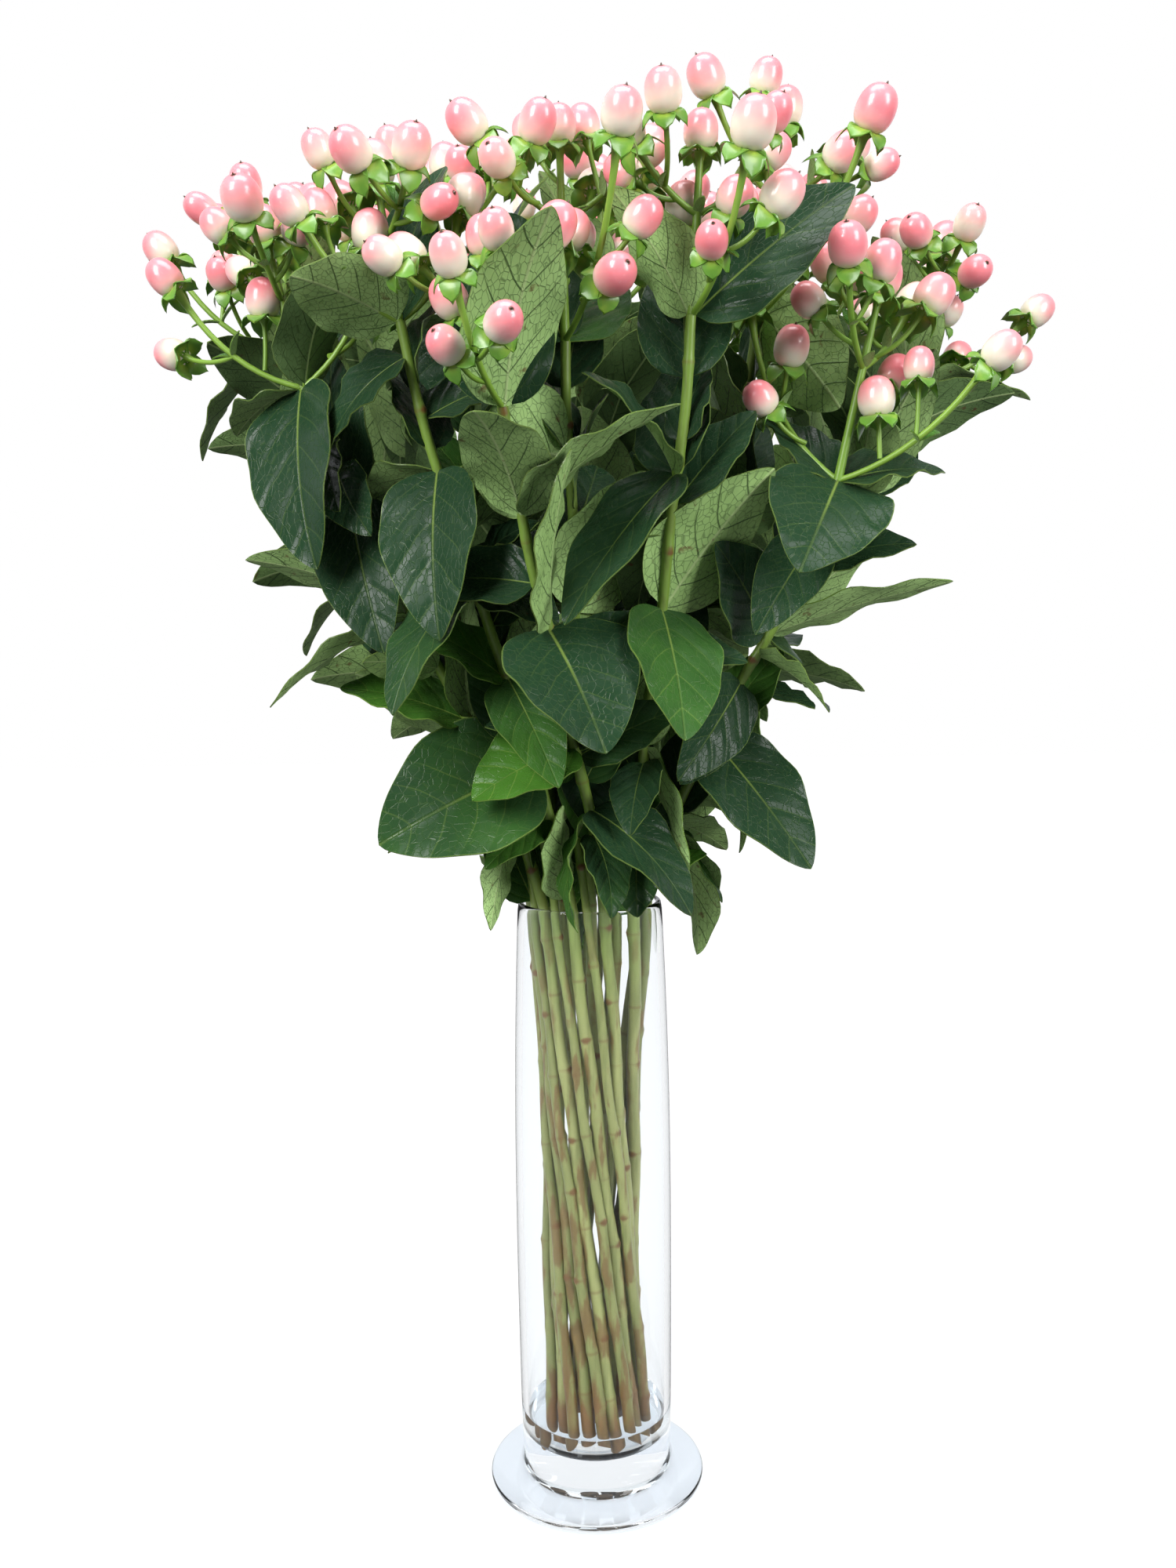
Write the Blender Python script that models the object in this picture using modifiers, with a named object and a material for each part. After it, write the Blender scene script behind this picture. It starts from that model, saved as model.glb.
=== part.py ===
"""A bunch of hypericum berry stems standing in a footed glass vase of water.

Each stem carries pairs of egg-shaped leaves, every pair turned a quarter from the one
below, and ends in a forked head of berries. The stems lean round the vase in two
rings, all turned the same way, so that they pass one another without crossing.
Thinner, shorter stems with no head stand in the grooves of the outer ring.
Units are metres, +Z is up, and the origin is the centre of the vase's underside.
"""

import math
import random
from collections import namedtuple

import bmesh
import bpy
from mathutils import Matrix, Vector
from mathutils.bvhtree import BVHTree

MM = 0.001

# Vase
VASE_HEIGHT = 0.246
FOOT_RADIUS = 0.045
FOOT_EDGE = 0.0025
FOOT_RISE = 0.006
BODY_RADIUS_LOW = 0.0312
BODY_RADIUS_MID = 0.0324
RIM_RADIUS = 0.0295
WALL = 0.0026
FLOOR_TOP = 0.0195
VASE_SEGMENTS = 26
GAP = 0.0003
WATER_LEVEL = 0.028
SHARP_EDGE = math.radians(40)

# Stems
STEM_RADIUS_LOW = 0.0029
STEM_RADIUS_TOP = 0.0018
BRANCH_RADIUS = 0.0011
FOOT_RING = {"outer": 0.0190, "inner": 0.0088}
RIM_RING = {"outer": 0.0238, "inner": 0.0110}
RING_COUNT = {"outer": 11, "inner": 4}
RING_START = {"outer": -141.0, "inner": 180.0}
TWIST = 75.0
STEM_FOOT = 0.0205
STEM_FOOT_SPREAD = 0.004
RIM_LEAN = 0.5
TOP_UPTURN = 0.4
LOWEST_LEAF = 0.262
PAIR_SPACING = 0.046

# Short stems: the outer stem that each stands before, and the heights that its top may have
SHORT_GROOVES = (0, 1, 2, 3, 5, 7, 9, 10)
SHORT_TOPS = (0.395, 0.370, 0.345, 0.320, 0.295, 0.275)
SHORT_FOOT_RING = 0.0215
SHORT_SLIMNESS = 0.86
SHORT_BOW = 0.0016
SHORT_PULL = 0.9

# Leaves
LEAF_LENGTH = 0.064
LEAF_WIDTH = 0.036
LEAF_THICKNESS = 0.0008
ROOT_DEPTH = 0.0008
TIP_DEPTH = 0.003
LEAF_ROWS = (0.0, 0.17, 0.46, 0.76, 1.0)
RISING_LEAF = (42, 70)
HANGING_LEAF = (-72, -34)

# Berries, with their branches as shares of the head's height
BERRY_LENGTH = 0.0165
BERRY_WIDTH = 0.0140
SEPALS = 5
SEPAL_REACH = 0.0098
SEPAL_NOTCH = 0.0050
SEPAL_DROP = 0.0016
FORK = 0.52
MIDDLE_STALK = 0.32
SIDE_STALK = {"lift": (0.28, 0.38), "out": (0.34, 0.42)}
LOW_BRANCH = {"lift": (0.55, 0.75), "out": (0.56, 0.66)}
BERRY_SIZES = (0.84, 1.04)

# Room left between the stems
CLEARANCE = 0.0005

# Each stem: its ring, its top leaf pair's place and its berry head's height in mm, and its berries
STEMS = (
    ("outer", (-105, -30, 447), 62, 5),
    ("outer", (-64, -62, 463), 52, 5),
    ("outer", (-27, -85, 429), 56, 5),
    ("outer", (38, -70, 462), 62, 5),
    ("outer", (94, -40, 409), 78, 5),
    ("outer", (139, 40, 458), 66, 4),
    ("outer", (94, 66, 482), 56, 4),
    ("outer", (58, 112, 488), 60, 4),
    ("outer", (-20, 116, 492), 58, 4),
    ("outer", (-86, 90, 484), 56, 4),
    ("outer", (-126, 34, 474), 62, 4),
    ("inner", (-48, 2, 478), 64, 4),
    ("inner", (-6, -60, 456), 76, 4),
    ("inner", (70, -4, 478), 84, 4),
    ("inner", (8, 58, 492), 64, 4),
)

# Heights in mm of the leaf pairs below the top one, on the stems where they show at the front
PAIR_HEIGHTS = {
    0: (404, 362, 322, 281),
    1: (413, 374, 338, 304),
    2: (394, 356, 312, 286),
    3: (410, 363, 311, 272),
    4: (354, 313, 276),
    5: (412, 358, 312),
    13: (428, 366, 314),
    12: (418, 362, 314),
}

# Leaves that show at the front: (stem, pair, side), then the way to the tip as azimuth and
# elevation in degrees, length and width in mm, bend along the leaf and turn about it in degrees
FRONT_LEAVES = {
    (0, 0, 0): (-70, -70, 74, 44, 30, 0),
    (0, 0, 1): (145, -20, 40, 30, 40, 0),
    (0, 2, 0): (-175, 20, 66, 32, 35, 35),
    (0, 3, 0): (-175, 15, 50, 38, 25, -25),
    (0, 4, 0): (-125, -70, 44, 16, 15, 75),
    (1, 0, 0): (-135, 10, 44, 36, 30, 30),
    (1, 1, 0): (-85, -70, 66, 38, 30, -5),
    (1, 2, 0): (-25, -25, 36, 28, 30, 20),
    (1, 3, 0): (-170, 30, 44, 28, 30, -30),
    (1, 4, 0): (-165, -25, 66, 58, 25, -50),
    (2, 2, 0): (-50, -55, 54, 50, 25, -10),
    (2, 3, 0): (-160, -25, 44, 36, 30, -20),
    (2, 4, 0): (-125, -80, 48, 12, 60, 40),
    (3, 0, 0): (-5, 35, 72, 36, 25, 50),
    (3, 0, 1): (-165, 55, 50, 32, 25, 40),
    (3, 1, 0): (-150, 40, 50, 26, 40, -10),
    (3, 2, 0): (-15, 50, 64, 40, 20, -70),
    (3, 3, 0): (-120, 75, 40, 24, 20, 50),
    (3, 3, 1): (-30, -75, 60, 16, 20, -75),
    (3, 4, 0): (-125, -70, 30, 24, 20, 25),
    (4, 0, 0): (-130, -45, 54, 46, 30, 0),
    (4, 0, 1): (10, 5, 42, 36, 30, 10),
    (4, 1, 0): (0, 15, 72, 24, 10, -40),
    (4, 1, 1): (-140, 55, 44, 36, 15, -60),
    (4, 2, 0): (-30, -50, 64, 42, 15, 35),
    (4, 2, 1): (30, 45, 50, 28, 10, -20),
    (4, 3, 0): (-10, -55, 36, 16, 20, 0),
    (5, 0, 0): (5, -5, 54, 22, 35, 0),
    (5, 1, 0): (-90, 55, 52, 28, 20, -5),
    (5, 2, 0): (-15, 40, 52, 32, 15, 5),
    (11, 0, 0): (-105, -65, 50, 30, 30, -10),
    (12, 0, 0): (-170, 40, 46, 32, 20, -45),
    (12, 1, 0): (-145, -10, 48, 48, 25, 75),
    (12, 2, 0): (-30, 60, 58, 40, 20, -60),
    (13, 0, 0): (-35, -50, 52, 42, 25, -70),
    (13, 0, 1): (-155, -70, 68, 30, 25, 10),
    (13, 2, 0): (-30, -25, 40, 20, 20, -45),
    (14, 0, 0): (155, 80, 70, 24, 15, 0),
}

Leaf = namedtuple("Leaf", "base along up side length width bend fold wave")
Branch = namedtuple("Branch", "points radii")
Berry = namedtuple("Berry", "base axis size")
Placed = namedtuple("Placed", "owner low high tree")


def direction(azimuth, elevation):
    """A unit vector from two angles in degrees."""
    turn, lift = math.radians(azimuth), math.radians(elevation)
    return Vector((math.cos(turn) * math.cos(lift), math.sin(turn) * math.cos(lift), math.sin(lift)))


def on_ring(radius, azimuth, height):
    turn = math.radians(azimuth)
    return Vector((radius * math.cos(turn), radius * math.sin(turn), height))


# Where each stem goes


def ring_azimuth(number):
    """The stems of a ring stand at even steps round it, in the order of STEMS."""
    ring = STEMS[number][0]
    before = sum(1 for other in STEMS[:number] if other[0] == ring)
    return RING_START[ring] + before * 360 / RING_COUNT[ring]


def stem_path(number):
    """Points up a stem: straight from the vase's floor to its rim, then bending out to the top leaves."""
    ring, top = STEMS[number][:2]
    turn = ring_azimuth(number)
    draw = random.Random(100 + number)
    foot = on_ring(FOOT_RING[ring], turn + TWIST, STEM_FOOT + draw.random() * STEM_FOOT_SPREAD)
    rim = on_ring(RIM_RING[ring], turn, VASE_HEIGHT)
    top = Vector(top) * MM
    rise = (top - rim).length
    lean = (top - rim).normalized()
    leave = ((rim - foot).normalized() + lean * RIM_LEAN).normalized() * rise
    arrive = (lean + Vector((0, 0, TOP_UPTURN))).normalized() * rise
    return [foot] + [hermite(rim, leave, top, arrive, step / 5) for step in range(6)]


def hermite(start, leave, end, arrive, share):
    """A point on the smooth curve between two ends with given directions."""
    a, b = share * share, share * share * share
    return (
        start * (2 * b - 3 * a + 1)
        + leave * (b - 2 * a + share)
        + end * (3 * a - 2 * b)
        + arrive * (b - a)
    )


def at_height(path, height):
    """The place and the direction of a stem where it passes a height."""
    for low, high in zip(path, path[1:]):
        if low.z <= height <= high.z:
            return low.lerp(high, (height - low.z) / (high.z - low.z)), (high - low).normalized()
    return path[-1], (path[-1] - path[-2]).normalized()


def stem_radius(height, top):
    share = min(1.0, max(0.0, height / top))
    return STEM_RADIUS_LOW + (STEM_RADIUS_TOP - STEM_RADIUS_LOW) * share


def wood(path, slimness=1.0):
    """A stem as a branch that tapers to its top."""
    return Branch(path, [stem_radius(point.z, path[-1].z) * slimness for point in path])


def short_path(groove, height, paths, low_steps, high_steps):
    """Up a short stem: bowed out between two outer stems in the vase, then half way between them."""
    turn = RING_START["outer"] + (groove - 0.5) * 360 / RING_COUNT["outer"]
    draw = random.Random(140 + groove)
    foot = on_ring(SHORT_FOOT_RING, turn + TWIST, STEM_FOOT + draw.random() * STEM_FOOT_SPREAD)
    rim = on_ring(RIM_RING["outer"], turn, VASE_HEIGHT)
    points = []
    for step in range(low_steps):
        share = step / low_steps
        point = foot.lerp(rim, share)
        outward = Vector((point.x, point.y, 0)).normalized()
        points.append(point + outward * SHORT_BOW * math.sin(math.pi * share))
    before, after = paths[(groove - 1) % RING_COUNT["outer"]], paths[groove]
    top = at_height(before, height)[0].lerp(at_height(after, height)[0], 0.5)
    top = Vector((top.x * SHORT_PULL, top.y * SHORT_PULL, top.z))
    rise = (top - rim).length
    leave = (rim - points[-1]).normalized() * rise
    arrive = (top - rim).normalized() * rise
    return points + [hermite(rim, leave, top, arrive, step / high_steps) for step in range(high_steps + 1)]


def short_tops(paths, placed):
    """The highest top at which each short stem is clear of the leaves and the other stems."""
    tops = {}
    for groove in SHORT_GROOVES:
        for height in SHORT_TOPS:
            path = short_path(groove, height, paths, 2, 2)
            above = wood(path[2:], SHORT_SLIMNESS)
            new = placed_shape((100 + groove, "wood"), above)
            if not touches(new, placed):
                placed.append(new)
                tops[groove] = height
                break
    return tops


# The head of berries


def bent_branch(start, along, end, radius):
    """A branch that sets off along one direction and bends up to its end."""
    reach = (end - start).length
    middle = start + along.normalized() * reach * 0.5
    halfway = start.lerp(middle, 0.5).lerp(middle.lerp(end, 0.5), 0.5)
    return Branch([start, halfway, end], [radius] * 3)


def berry_at(branch, size):
    axis = (branch.points[-1] - branch.points[-2]).normalized()
    return Berry(branch.points[-1], axis, size)


def berry_head(number, path, turn, reach):
    """The forked head on a stem: three berries at the fork and up to two more on low branches."""
    top, way = path[-1], (path[-1] - path[-2]).normalized()
    rise = STEMS[number][2] * MM * reach
    up = (way + Vector((0, 0, 0.8))).normalized()
    across = up.cross(direction(turn, 0)).normalized()
    sideways = across.cross(up).normalized()
    draw = random.Random(500 + number)
    fork = top + up * rise * FORK
    end = fork + up * rise * MIDDLE_STALK
    branches = [Branch([top, fork, end], [STEM_RADIUS_TOP, BRANCH_RADIUS * 1.2, BRANCH_RADIUS])]
    for start, out_way, shares in ((fork, across, SIDE_STALK), (top, sideways, LOW_BRANCH)):
        for sign in (-1, 1):
            lift, out = rise * draw.uniform(*shares["lift"]), rise * draw.uniform(*shares["out"])
            end = start + up * lift + out_way * sign * out
            branches.append(bent_branch(start, up * 0.45 + out_way * sign, end, BRANCH_RADIUS))
    branches = branches[: STEMS[number][3]]
    return branches, [berry_at(branch, draw.uniform(*BERRY_SIZES)) for branch in branches]


# Leaves


def leaf_share(share):
    """Half the width of a leaf along its length, as a share of its greatest: broad near its base."""
    return math.sin(math.pi * share**0.63) ** 0.7 if 0 < share < 1 else 0.0


def leaf_point(leaf, share, across):
    """A point of a leaf's middle surface; across runs from -1 to 1 between its edges."""
    start, here = leaf.bend / 2, leaf.bend * (0.5 - share)
    forward = leaf.length * (math.sin(start) - math.sin(here)) / leaf.bend
    lift = leaf.length * (math.cos(here) - math.cos(start)) / leaf.bend
    reach = leaf.width / 2 * leaf_share(share) * across
    rise = abs(reach) * leaf.fold + leaf.wave * across * math.sin(share * 7.0) * leaf_share(share)
    normal = leaf.up * math.cos(here) - leaf.along * math.sin(here)
    return leaf.base + leaf.along * forward + leaf.up * lift + leaf.side * reach + normal * rise


def make_leaf(base, stem_way, azimuth, elevation, length, width, bend, turn, draw):
    """A leaf whose upper face looks up along its stem, turned about its own length."""
    along = direction(azimuth, elevation)
    outward = along - stem_way * stem_way.dot(along)
    base = base + outward.normalized() * (STEM_RADIUS_TOP - ROOT_DEPTH)
    up = stem_way - along * stem_way.dot(along)
    up = up.normalized() if up.length > 0.2 else Vector((0, 0, 1)).cross(along).cross(along) * -1
    up = Matrix.Rotation(math.radians(turn), 3, along) @ up.normalized()
    fold, wave = 0.10 + 0.16 * draw.random(), 0.0024 * (draw.random() - 0.5)
    return Leaf(base, along, up, along.cross(up), length, width, math.radians(max(bend, 4)), fold, wave)


def pair_heights(number):
    """Heights of the leaf pairs, from the top one down."""
    top = STEMS[number][1][2] * MM
    if number in PAIR_HEIGHTS:
        return [top] + [height * MM for height in PAIR_HEIGHTS[number]]
    most = 4 if STEMS[number][0] == "outer" else 3
    count = min(most, int((top - LOWEST_LEAF) / PAIR_SPACING) + 1)
    return [top - PAIR_SPACING * step for step in range(count)]


def leaf_wishes(number, path):
    """What each leaf of a stem would like: where it is, and the angles and sizes it starts from."""
    draw = random.Random(900 + number)
    outward = math.degrees(math.atan2(path[-1].y, path[-1].x))
    first = outward + draw.uniform(-25, 25)
    full_pairs = 4 if number in PAIR_HEIGHTS else 3
    wishes = []
    for pair, height in enumerate(pair_heights(number)):
        base, way = at_height(path, height)
        size = 1.0 if pair < 3 else 0.86
        for side in (0, 1) if pair < full_pairs else (0,):
            azimuth = first + 90 * pair + 180 * side + draw.uniform(-18, 18)
            inward = math.cos(math.radians(azimuth - outward)) < -0.3
            rising = draw.random() < 0.45 or inward
            elevation = draw.uniform(*(RISING_LEAF if rising else HANGING_LEAF))
            length = LEAF_LENGTH * size * draw.uniform(0.82, 1.12)
            width = LEAF_WIDTH * size * draw.uniform(0.85, 1.12)
            wish = (azimuth, elevation, length, width, draw.uniform(15, 55), draw.uniform(-25, 25))
            if (number, pair, side) in FRONT_LEAVES:
                way_out, lift, length, width, bend, turn = FRONT_LEAVES[number, pair, side]
                wish = (way_out, lift, length * MM, width * MM, bend, turn)
            wishes.append(((number, pair, side), base, way, wish))
    return wishes


# Keeping the stems clear of one another


def solid_points(shape):
    """Coarse corners and triangles of a leaf, a branch or a berry, with the clearance added."""
    if isinstance(shape, Leaf):
        return leaf_shell(shape, LEAF_THICKNESS / 2 + CLEARANCE)
    if isinstance(shape, Branch):
        return tube_shell(shape, CLEARANCE)
    return berry_shell(shape, CLEARANCE)


def leaf_shell(leaf, half):
    """Both faces of a leaf, split into triangles alike, with its rim."""
    sheet, normals = [], []
    for place, share in enumerate(LEAF_ROWS):
        before = leaf_point(leaf, LEAF_ROWS[max(place - 1, 0)], 0)
        after = leaf_point(leaf, LEAF_ROWS[min(place + 1, len(LEAF_ROWS) - 1)], 0)
        normal = (after - before).cross(leaf.side).normalized()
        for spot in (0,) if share in (0.0, 1.0) else (-1, 0, 1):
            sheet.append(leaf_point(leaf, share, spot))
            normals.append(normal)
    count, tip = len(sheet), len(sheet) - 1
    faces = [(0, 2, 1), (0, 3, 2), (tip - 3, tip - 2, tip), (tip - 2, tip - 1, tip)]
    for low in range(1, tip - 3, 3):
        high = low + 3
        faces += [(low, low + 1, high), (low + 1, high + 1, high)]
        faces += [(low + 1, low + 2, high + 2), (low + 1, high + 2, high + 1)]
    rim = [0, *range(3, tip, 3), tip, *range(tip - 3, 0, -3)]
    shell = faces + [tuple(count + corner for corner in reversed(face)) for face in faces]
    for here, there in zip(rim, rim[1:] + rim[:1]):
        shell += [(here, here + count, there + count), (here, there + count, there)]
    upper = [point + normal * half for point, normal in zip(sheet, normals)]
    lower = [point - normal * half for point, normal in zip(sheet, normals)]
    return upper + lower, shell


def tube_shell(branch, extra):
    """A square tube round a branch, only for finding what it would touch."""
    points, faces = [], []
    for index, point in enumerate(branch.points):
        before = branch.points[max(index - 1, 0)]
        after = branch.points[min(index + 1, len(branch.points) - 1)]
        way = (after - before).normalized()
        one = way.orthogonal().normalized()
        other = way.cross(one)
        radius = (branch.radii[index] + extra) * 1.2
        for step in range(4):
            turn = math.radians(90 * step)
            points.append(point + (one * math.cos(turn) + other * math.sin(turn)) * radius)
    for ring in range(len(branch.points) - 1):
        for step in range(4):
            a, b = ring * 4 + step, ring * 4 + (step + 1) % 4
            faces += [(a, b, b + 4), (a, b + 4, a + 4)]
    return points, faces


def berry_shell(berry, extra):
    """A low ball round a berry and its sepals, only for finding what they would touch."""
    facing = berry.axis.to_track_quat("Z", "X")
    length, width = BERRY_LENGTH * berry.size, BERRY_WIDTH * berry.size
    outline = ((0, -0.2), (1.35, 0.0), (1.08, 0.3), (1.0, 0.55), (0.6, 0.93), (0, 1.05))
    points, faces = [], []
    for radius, height in outline:
        for step in range(8):
            turn = math.radians(45 * step)
            reach = radius * width / 2 + (extra if radius else 0)
            spot = Vector((math.cos(turn) * reach, math.sin(turn) * reach, height * length))
            points.append(berry.base + facing @ spot)
    for ring in range(len(outline) - 1):
        for step in range(8):
            a, b = ring * 8 + step, ring * 8 + (step + 1) % 8
            faces += [(a, b, b + 8), (a, b + 8, a + 8)]
    return points, faces


def placed_shape(owner, shape):
    points, faces = solid_points(shape)
    low = Vector([min(point[axis] for point in points) for axis in range(3)])
    high = Vector([max(point[axis] for point in points) for axis in range(3)])
    return Placed(owner, low, high, BVHTree.FromPolygons(points, faces))


def joined(one, other):
    """Whether two shapes belong together: a stem with all it carries, and the two leaves of a pair."""
    same_part = one.owner[1] == other.owner[1] or "wood" in (one.owner[1], other.owner[1])
    return one.owner[0] == other.owner[0] and same_part


def touches(new, others):
    """Whether a shape meets one that it isn't joined to."""
    for other in others:
        if joined(new, other):
            continue
        apart = any(new.low[a] > other.high[a] or other.low[a] > new.high[a] for a in range(3))
        if not apart and new.tree.overlap(other.tree):
            return True
    return False


def rim_guard():
    """The top of the vase's wall, kept clear by the leaves that hang near it."""
    low, high = VASE_HEIGHT - 0.06, VASE_HEIGHT + GAP
    inside, outside = RIM_RADIUS - WALL - GAP, RIM_RADIUS + GAP * 8
    points, faces = [], []
    for radius, height in ((inside, low), (inside, high), (outside, high), (outside, low)):
        for step in range(VASE_SEGMENTS):
            points.append(on_ring(radius, step * 360 / VASE_SEGMENTS, height))
    for ring in range(3):
        for step in range(VASE_SEGMENTS):
            a, b = ring * VASE_SEGMENTS + step, ring * VASE_SEGMENTS + (step + 1) % VASE_SEGMENTS
            faces += [(a, b, b + VASE_SEGMENTS), (a, b + VASE_SEGMENTS, a + VASE_SEGMENTS)]
    corner = Vector((outside, outside, 0))
    tree = BVHTree.FromPolygons(points, faces)
    return Placed((-1, "glass"), Vector((0, 0, low)) - corner, Vector((0, 0, high)) + corner, tree)


def head_places(number, path, placed):
    """The first turn of a head of berries that keeps it clear of the others."""
    for reach in (1.0, 0.92, 1.08, 0.84, 0.76, 0.68):
        for step in range(12):
            branches, berries = berry_head(number, path, 37 * number + 30 * step, reach)
            new = [placed_shape((number, "wood"), branch) for branch in branches]
            new += [placed_shape((number, "berry"), berry) for berry in berries]
            if not any(touches(shape, placed) for shape in new):
                placed += new
                return branches, berries
    return [], []


def nearby_angles():
    """Steps away from a wished direction, the smallest first, in degrees, with a share of the size."""
    steps = [(0, 0, 1.0)]
    for size in (1.0, 0.88, 0.76, 0.62):
        for ring in range(1, 8):
            for spoke in range(8):
                turn = math.radians(45 * spoke + 20 * ring)
                steps.append((11 * ring * math.cos(turn), 9 * ring * math.sin(turn), size))
    return steps


def leaf_places(paths, placed):
    """Every leaf in a place where it is clear of the other stems, the front leaves first."""
    wishes = [wish for number, path in enumerate(paths) for wish in leaf_wishes(number, path)]
    wishes.sort(key=lambda wish: wish[0] not in FRONT_LEAVES)
    leaves = {number: [] for number in range(len(paths))}
    for key, base, way, wanted in wishes:
        azimuth, elevation, length, width, bend, turn = wanted
        for swing, lift, size in nearby_angles():
            draw = random.Random(key[0] * 100 + key[1] * 10 + key[2])
            leaf = make_leaf(
                base, way, azimuth + swing, elevation + lift, length * size, width * size, bend, turn, draw
            )
            new = placed_shape((key[0], key[1]), leaf)
            if not touches(new, placed):
                placed.append(new)
                leaves[key[0]].append(leaf)
                break
    return leaves


def arrange():
    """The whole bunch: paths, heads of berries and leaves, each clear of the other stems."""
    paths = [stem_path(number) for number in range(len(STEMS))]
    placed = [rim_guard()]
    placed += [placed_shape((number, "wood"), wood(path)) for number, path in enumerate(paths)]
    heads = [head_places(number, path, placed) for number, path in enumerate(paths)]
    leaves = leaf_places(paths, placed)
    tops = short_tops(paths, placed)
    shorts = [short_path(groove, height, paths, 2, 2) for groove, height in tops.items()]
    return paths, heads, leaves, shorts


# Making the solids


def clear_scene():
    for item in list(bpy.data.objects):
        bpy.data.objects.remove(item, do_unlink=True)


def collection(name):
    group = bpy.data.collections.new(name)
    bpy.context.scene.collection.children.link(group)
    return group


def material(name, colour, roughness, transmission=0.0, ior=1.45):
    finish = bpy.data.materials.new(name)
    finish.use_nodes = True
    shader = finish.node_tree.nodes["Principled BSDF"]
    shader.inputs["Base Color"].default_value = (*colour, 1)
    shader.inputs["Roughness"].default_value = roughness
    shader.inputs["Transmission Weight"].default_value = transmission
    shader.inputs["IOR"].default_value = ior
    return finish


def mesh_object(name, mesh, group, finish=None):
    item = bpy.data.objects.new(name, mesh)
    group.objects.link(item)
    if finish:
        mesh.materials.append(finish)
    return item


def evaluated_mesh(item):
    """The object's mesh with its modifiers, or a curve's mesh with its caps welded."""
    bpy.context.view_layer.update()
    mesh = bpy.data.meshes.new_from_object(item.evaluated_get(bpy.context.evaluated_depsgraph_get()))
    work = bmesh.new()
    work.from_mesh(mesh)
    bmesh.ops.remove_doubles(work, verts=work.verts, dist=1e-6)
    bmesh.ops.recalc_face_normals(work, faces=work.faces)
    work.to_mesh(mesh)
    work.free()
    return mesh


def tube(name, branch, sides, group, extra=0.0):
    """A round stem or branch: a curve with a bevel and caps, made a mesh."""
    curve = bpy.data.curves.new(name, "CURVE")
    curve.dimensions = "3D"
    curve.bevel_depth = 1.0
    curve.bevel_resolution = (sides - 4) // 2
    curve.use_fill_caps = True
    spline = curve.splines.new("POLY")
    spline.points.add(len(branch.points) - 1)
    for spot, point, radius in zip(spline.points, branch.points, branch.radii):
        spot.co = (*point, 1)
        spot.radius = radius + extra
    guide = bpy.data.objects.new(name, curve)
    group.objects.link(guide)
    mesh = evaluated_mesh(guide)
    bpy.data.objects.remove(guide, do_unlink=True)
    bpy.data.curves.remove(curve)
    return mesh_object(name, mesh, group)


def turned(name, profile, group, finish=None):
    """A shape turned about the upright axis from its profile of (radius, height)."""
    mesh = bpy.data.meshes.new(name)
    edges = [(step, step + 1) for step in range(len(profile) - 1)]
    mesh.from_pydata([(radius, 0, height) for radius, height in profile], edges, [])
    item = mesh_object(name, mesh, group, finish)
    screw = item.modifiers.new("Turn", "SCREW")
    screw.steps = VASE_SEGMENTS
    screw.render_steps = VASE_SEGMENTS
    screw.use_merge_vertices = True
    screw.merge_threshold = 0.00001
    return item


def inner_radius(height):
    """The inside of the vase: widest about half way up, then drawn in to the rim."""
    share = min(1.0, max(0.0, height / VASE_HEIGHT))
    low = BODY_RADIUS_LOW + (BODY_RADIUS_MID - BODY_RADIUS_LOW) * math.sin(math.pi * min(share, 0.5))
    drawn = (BODY_RADIUS_MID - RIM_RADIUS) * max(0.0, share - 0.5) ** 2 * 4
    return low - drawn - WALL


def vase(group, finish):
    """Thick floor, straight body with a slight waist at the rim, and a thin round foot."""
    heights = [WATER_LEVEL, 0.120, 0.190]
    rim_inner = inner_radius(VASE_HEIGHT)
    profile = [(0, FLOOR_TOP - 0.0005), (0.0255, FLOOR_TOP), (inner_radius(0.0235), 0.0235)]
    profile += [(inner_radius(height), height) for height in heights]
    profile += [(rim_inner, VASE_HEIGHT - 0.0006), (rim_inner + WALL / 2, VASE_HEIGHT)]
    profile += [(rim_inner + WALL, VASE_HEIGHT - 0.0006)]
    profile += [(inner_radius(height) + WALL, height) for height in reversed([0.016, *heights])]
    profile += [(0.0298, 0.0085), (0.0345, FOOT_RISE - 0.0008)]
    profile += [(FOOT_RADIUS, FOOT_EDGE), (FOOT_RADIUS - 0.0004, 0), (0, 0)]
    return turned("vase", profile, group, finish)


def water(group, cutters, finish, stems):
    """Still water in the vase, with a plain hole where each stem stands."""
    heights = (WATER_LEVEL, 0.0240)
    profile = [(0, WATER_LEVEL)] + [(inner_radius(height) - GAP, height) for height in heights]
    profile += [(0.0253, FLOOR_TOP + GAP), (0, FLOOR_TOP + GAP)]
    body = turned("water", profile, group, finish)
    for number, stem in enumerate(stems):
        foot, above = stem.points[:2]
        start = foot - (above - foot).normalized() * GAP
        tube(f"hole_{number + 1:02d}", Branch([start, above], stem.radii[:2]), 6, cutters, GAP)
    cut = body.modifiers.new("Holes", "BOOLEAN")
    cut.operand_type = "COLLECTION"
    cut.collection = cutters
    cut.operation = "DIFFERENCE"
    return applied("water", body, cutters, group, finish)


def applied(name, item, used, group, finish):
    """The object with its modifiers made real, and the objects that they used removed."""
    mesh = evaluated_mesh(item)
    mesh.materials.clear()
    mesh.name = name
    mesh.shade_smooth()
    mesh.set_sharp_from_angle(angle=SHARP_EDGE)
    for leftover in [item, *used.objects]:
        bpy.data.objects.remove(leftover, do_unlink=True)
    return mesh_object(name, mesh, group, finish)


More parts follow.
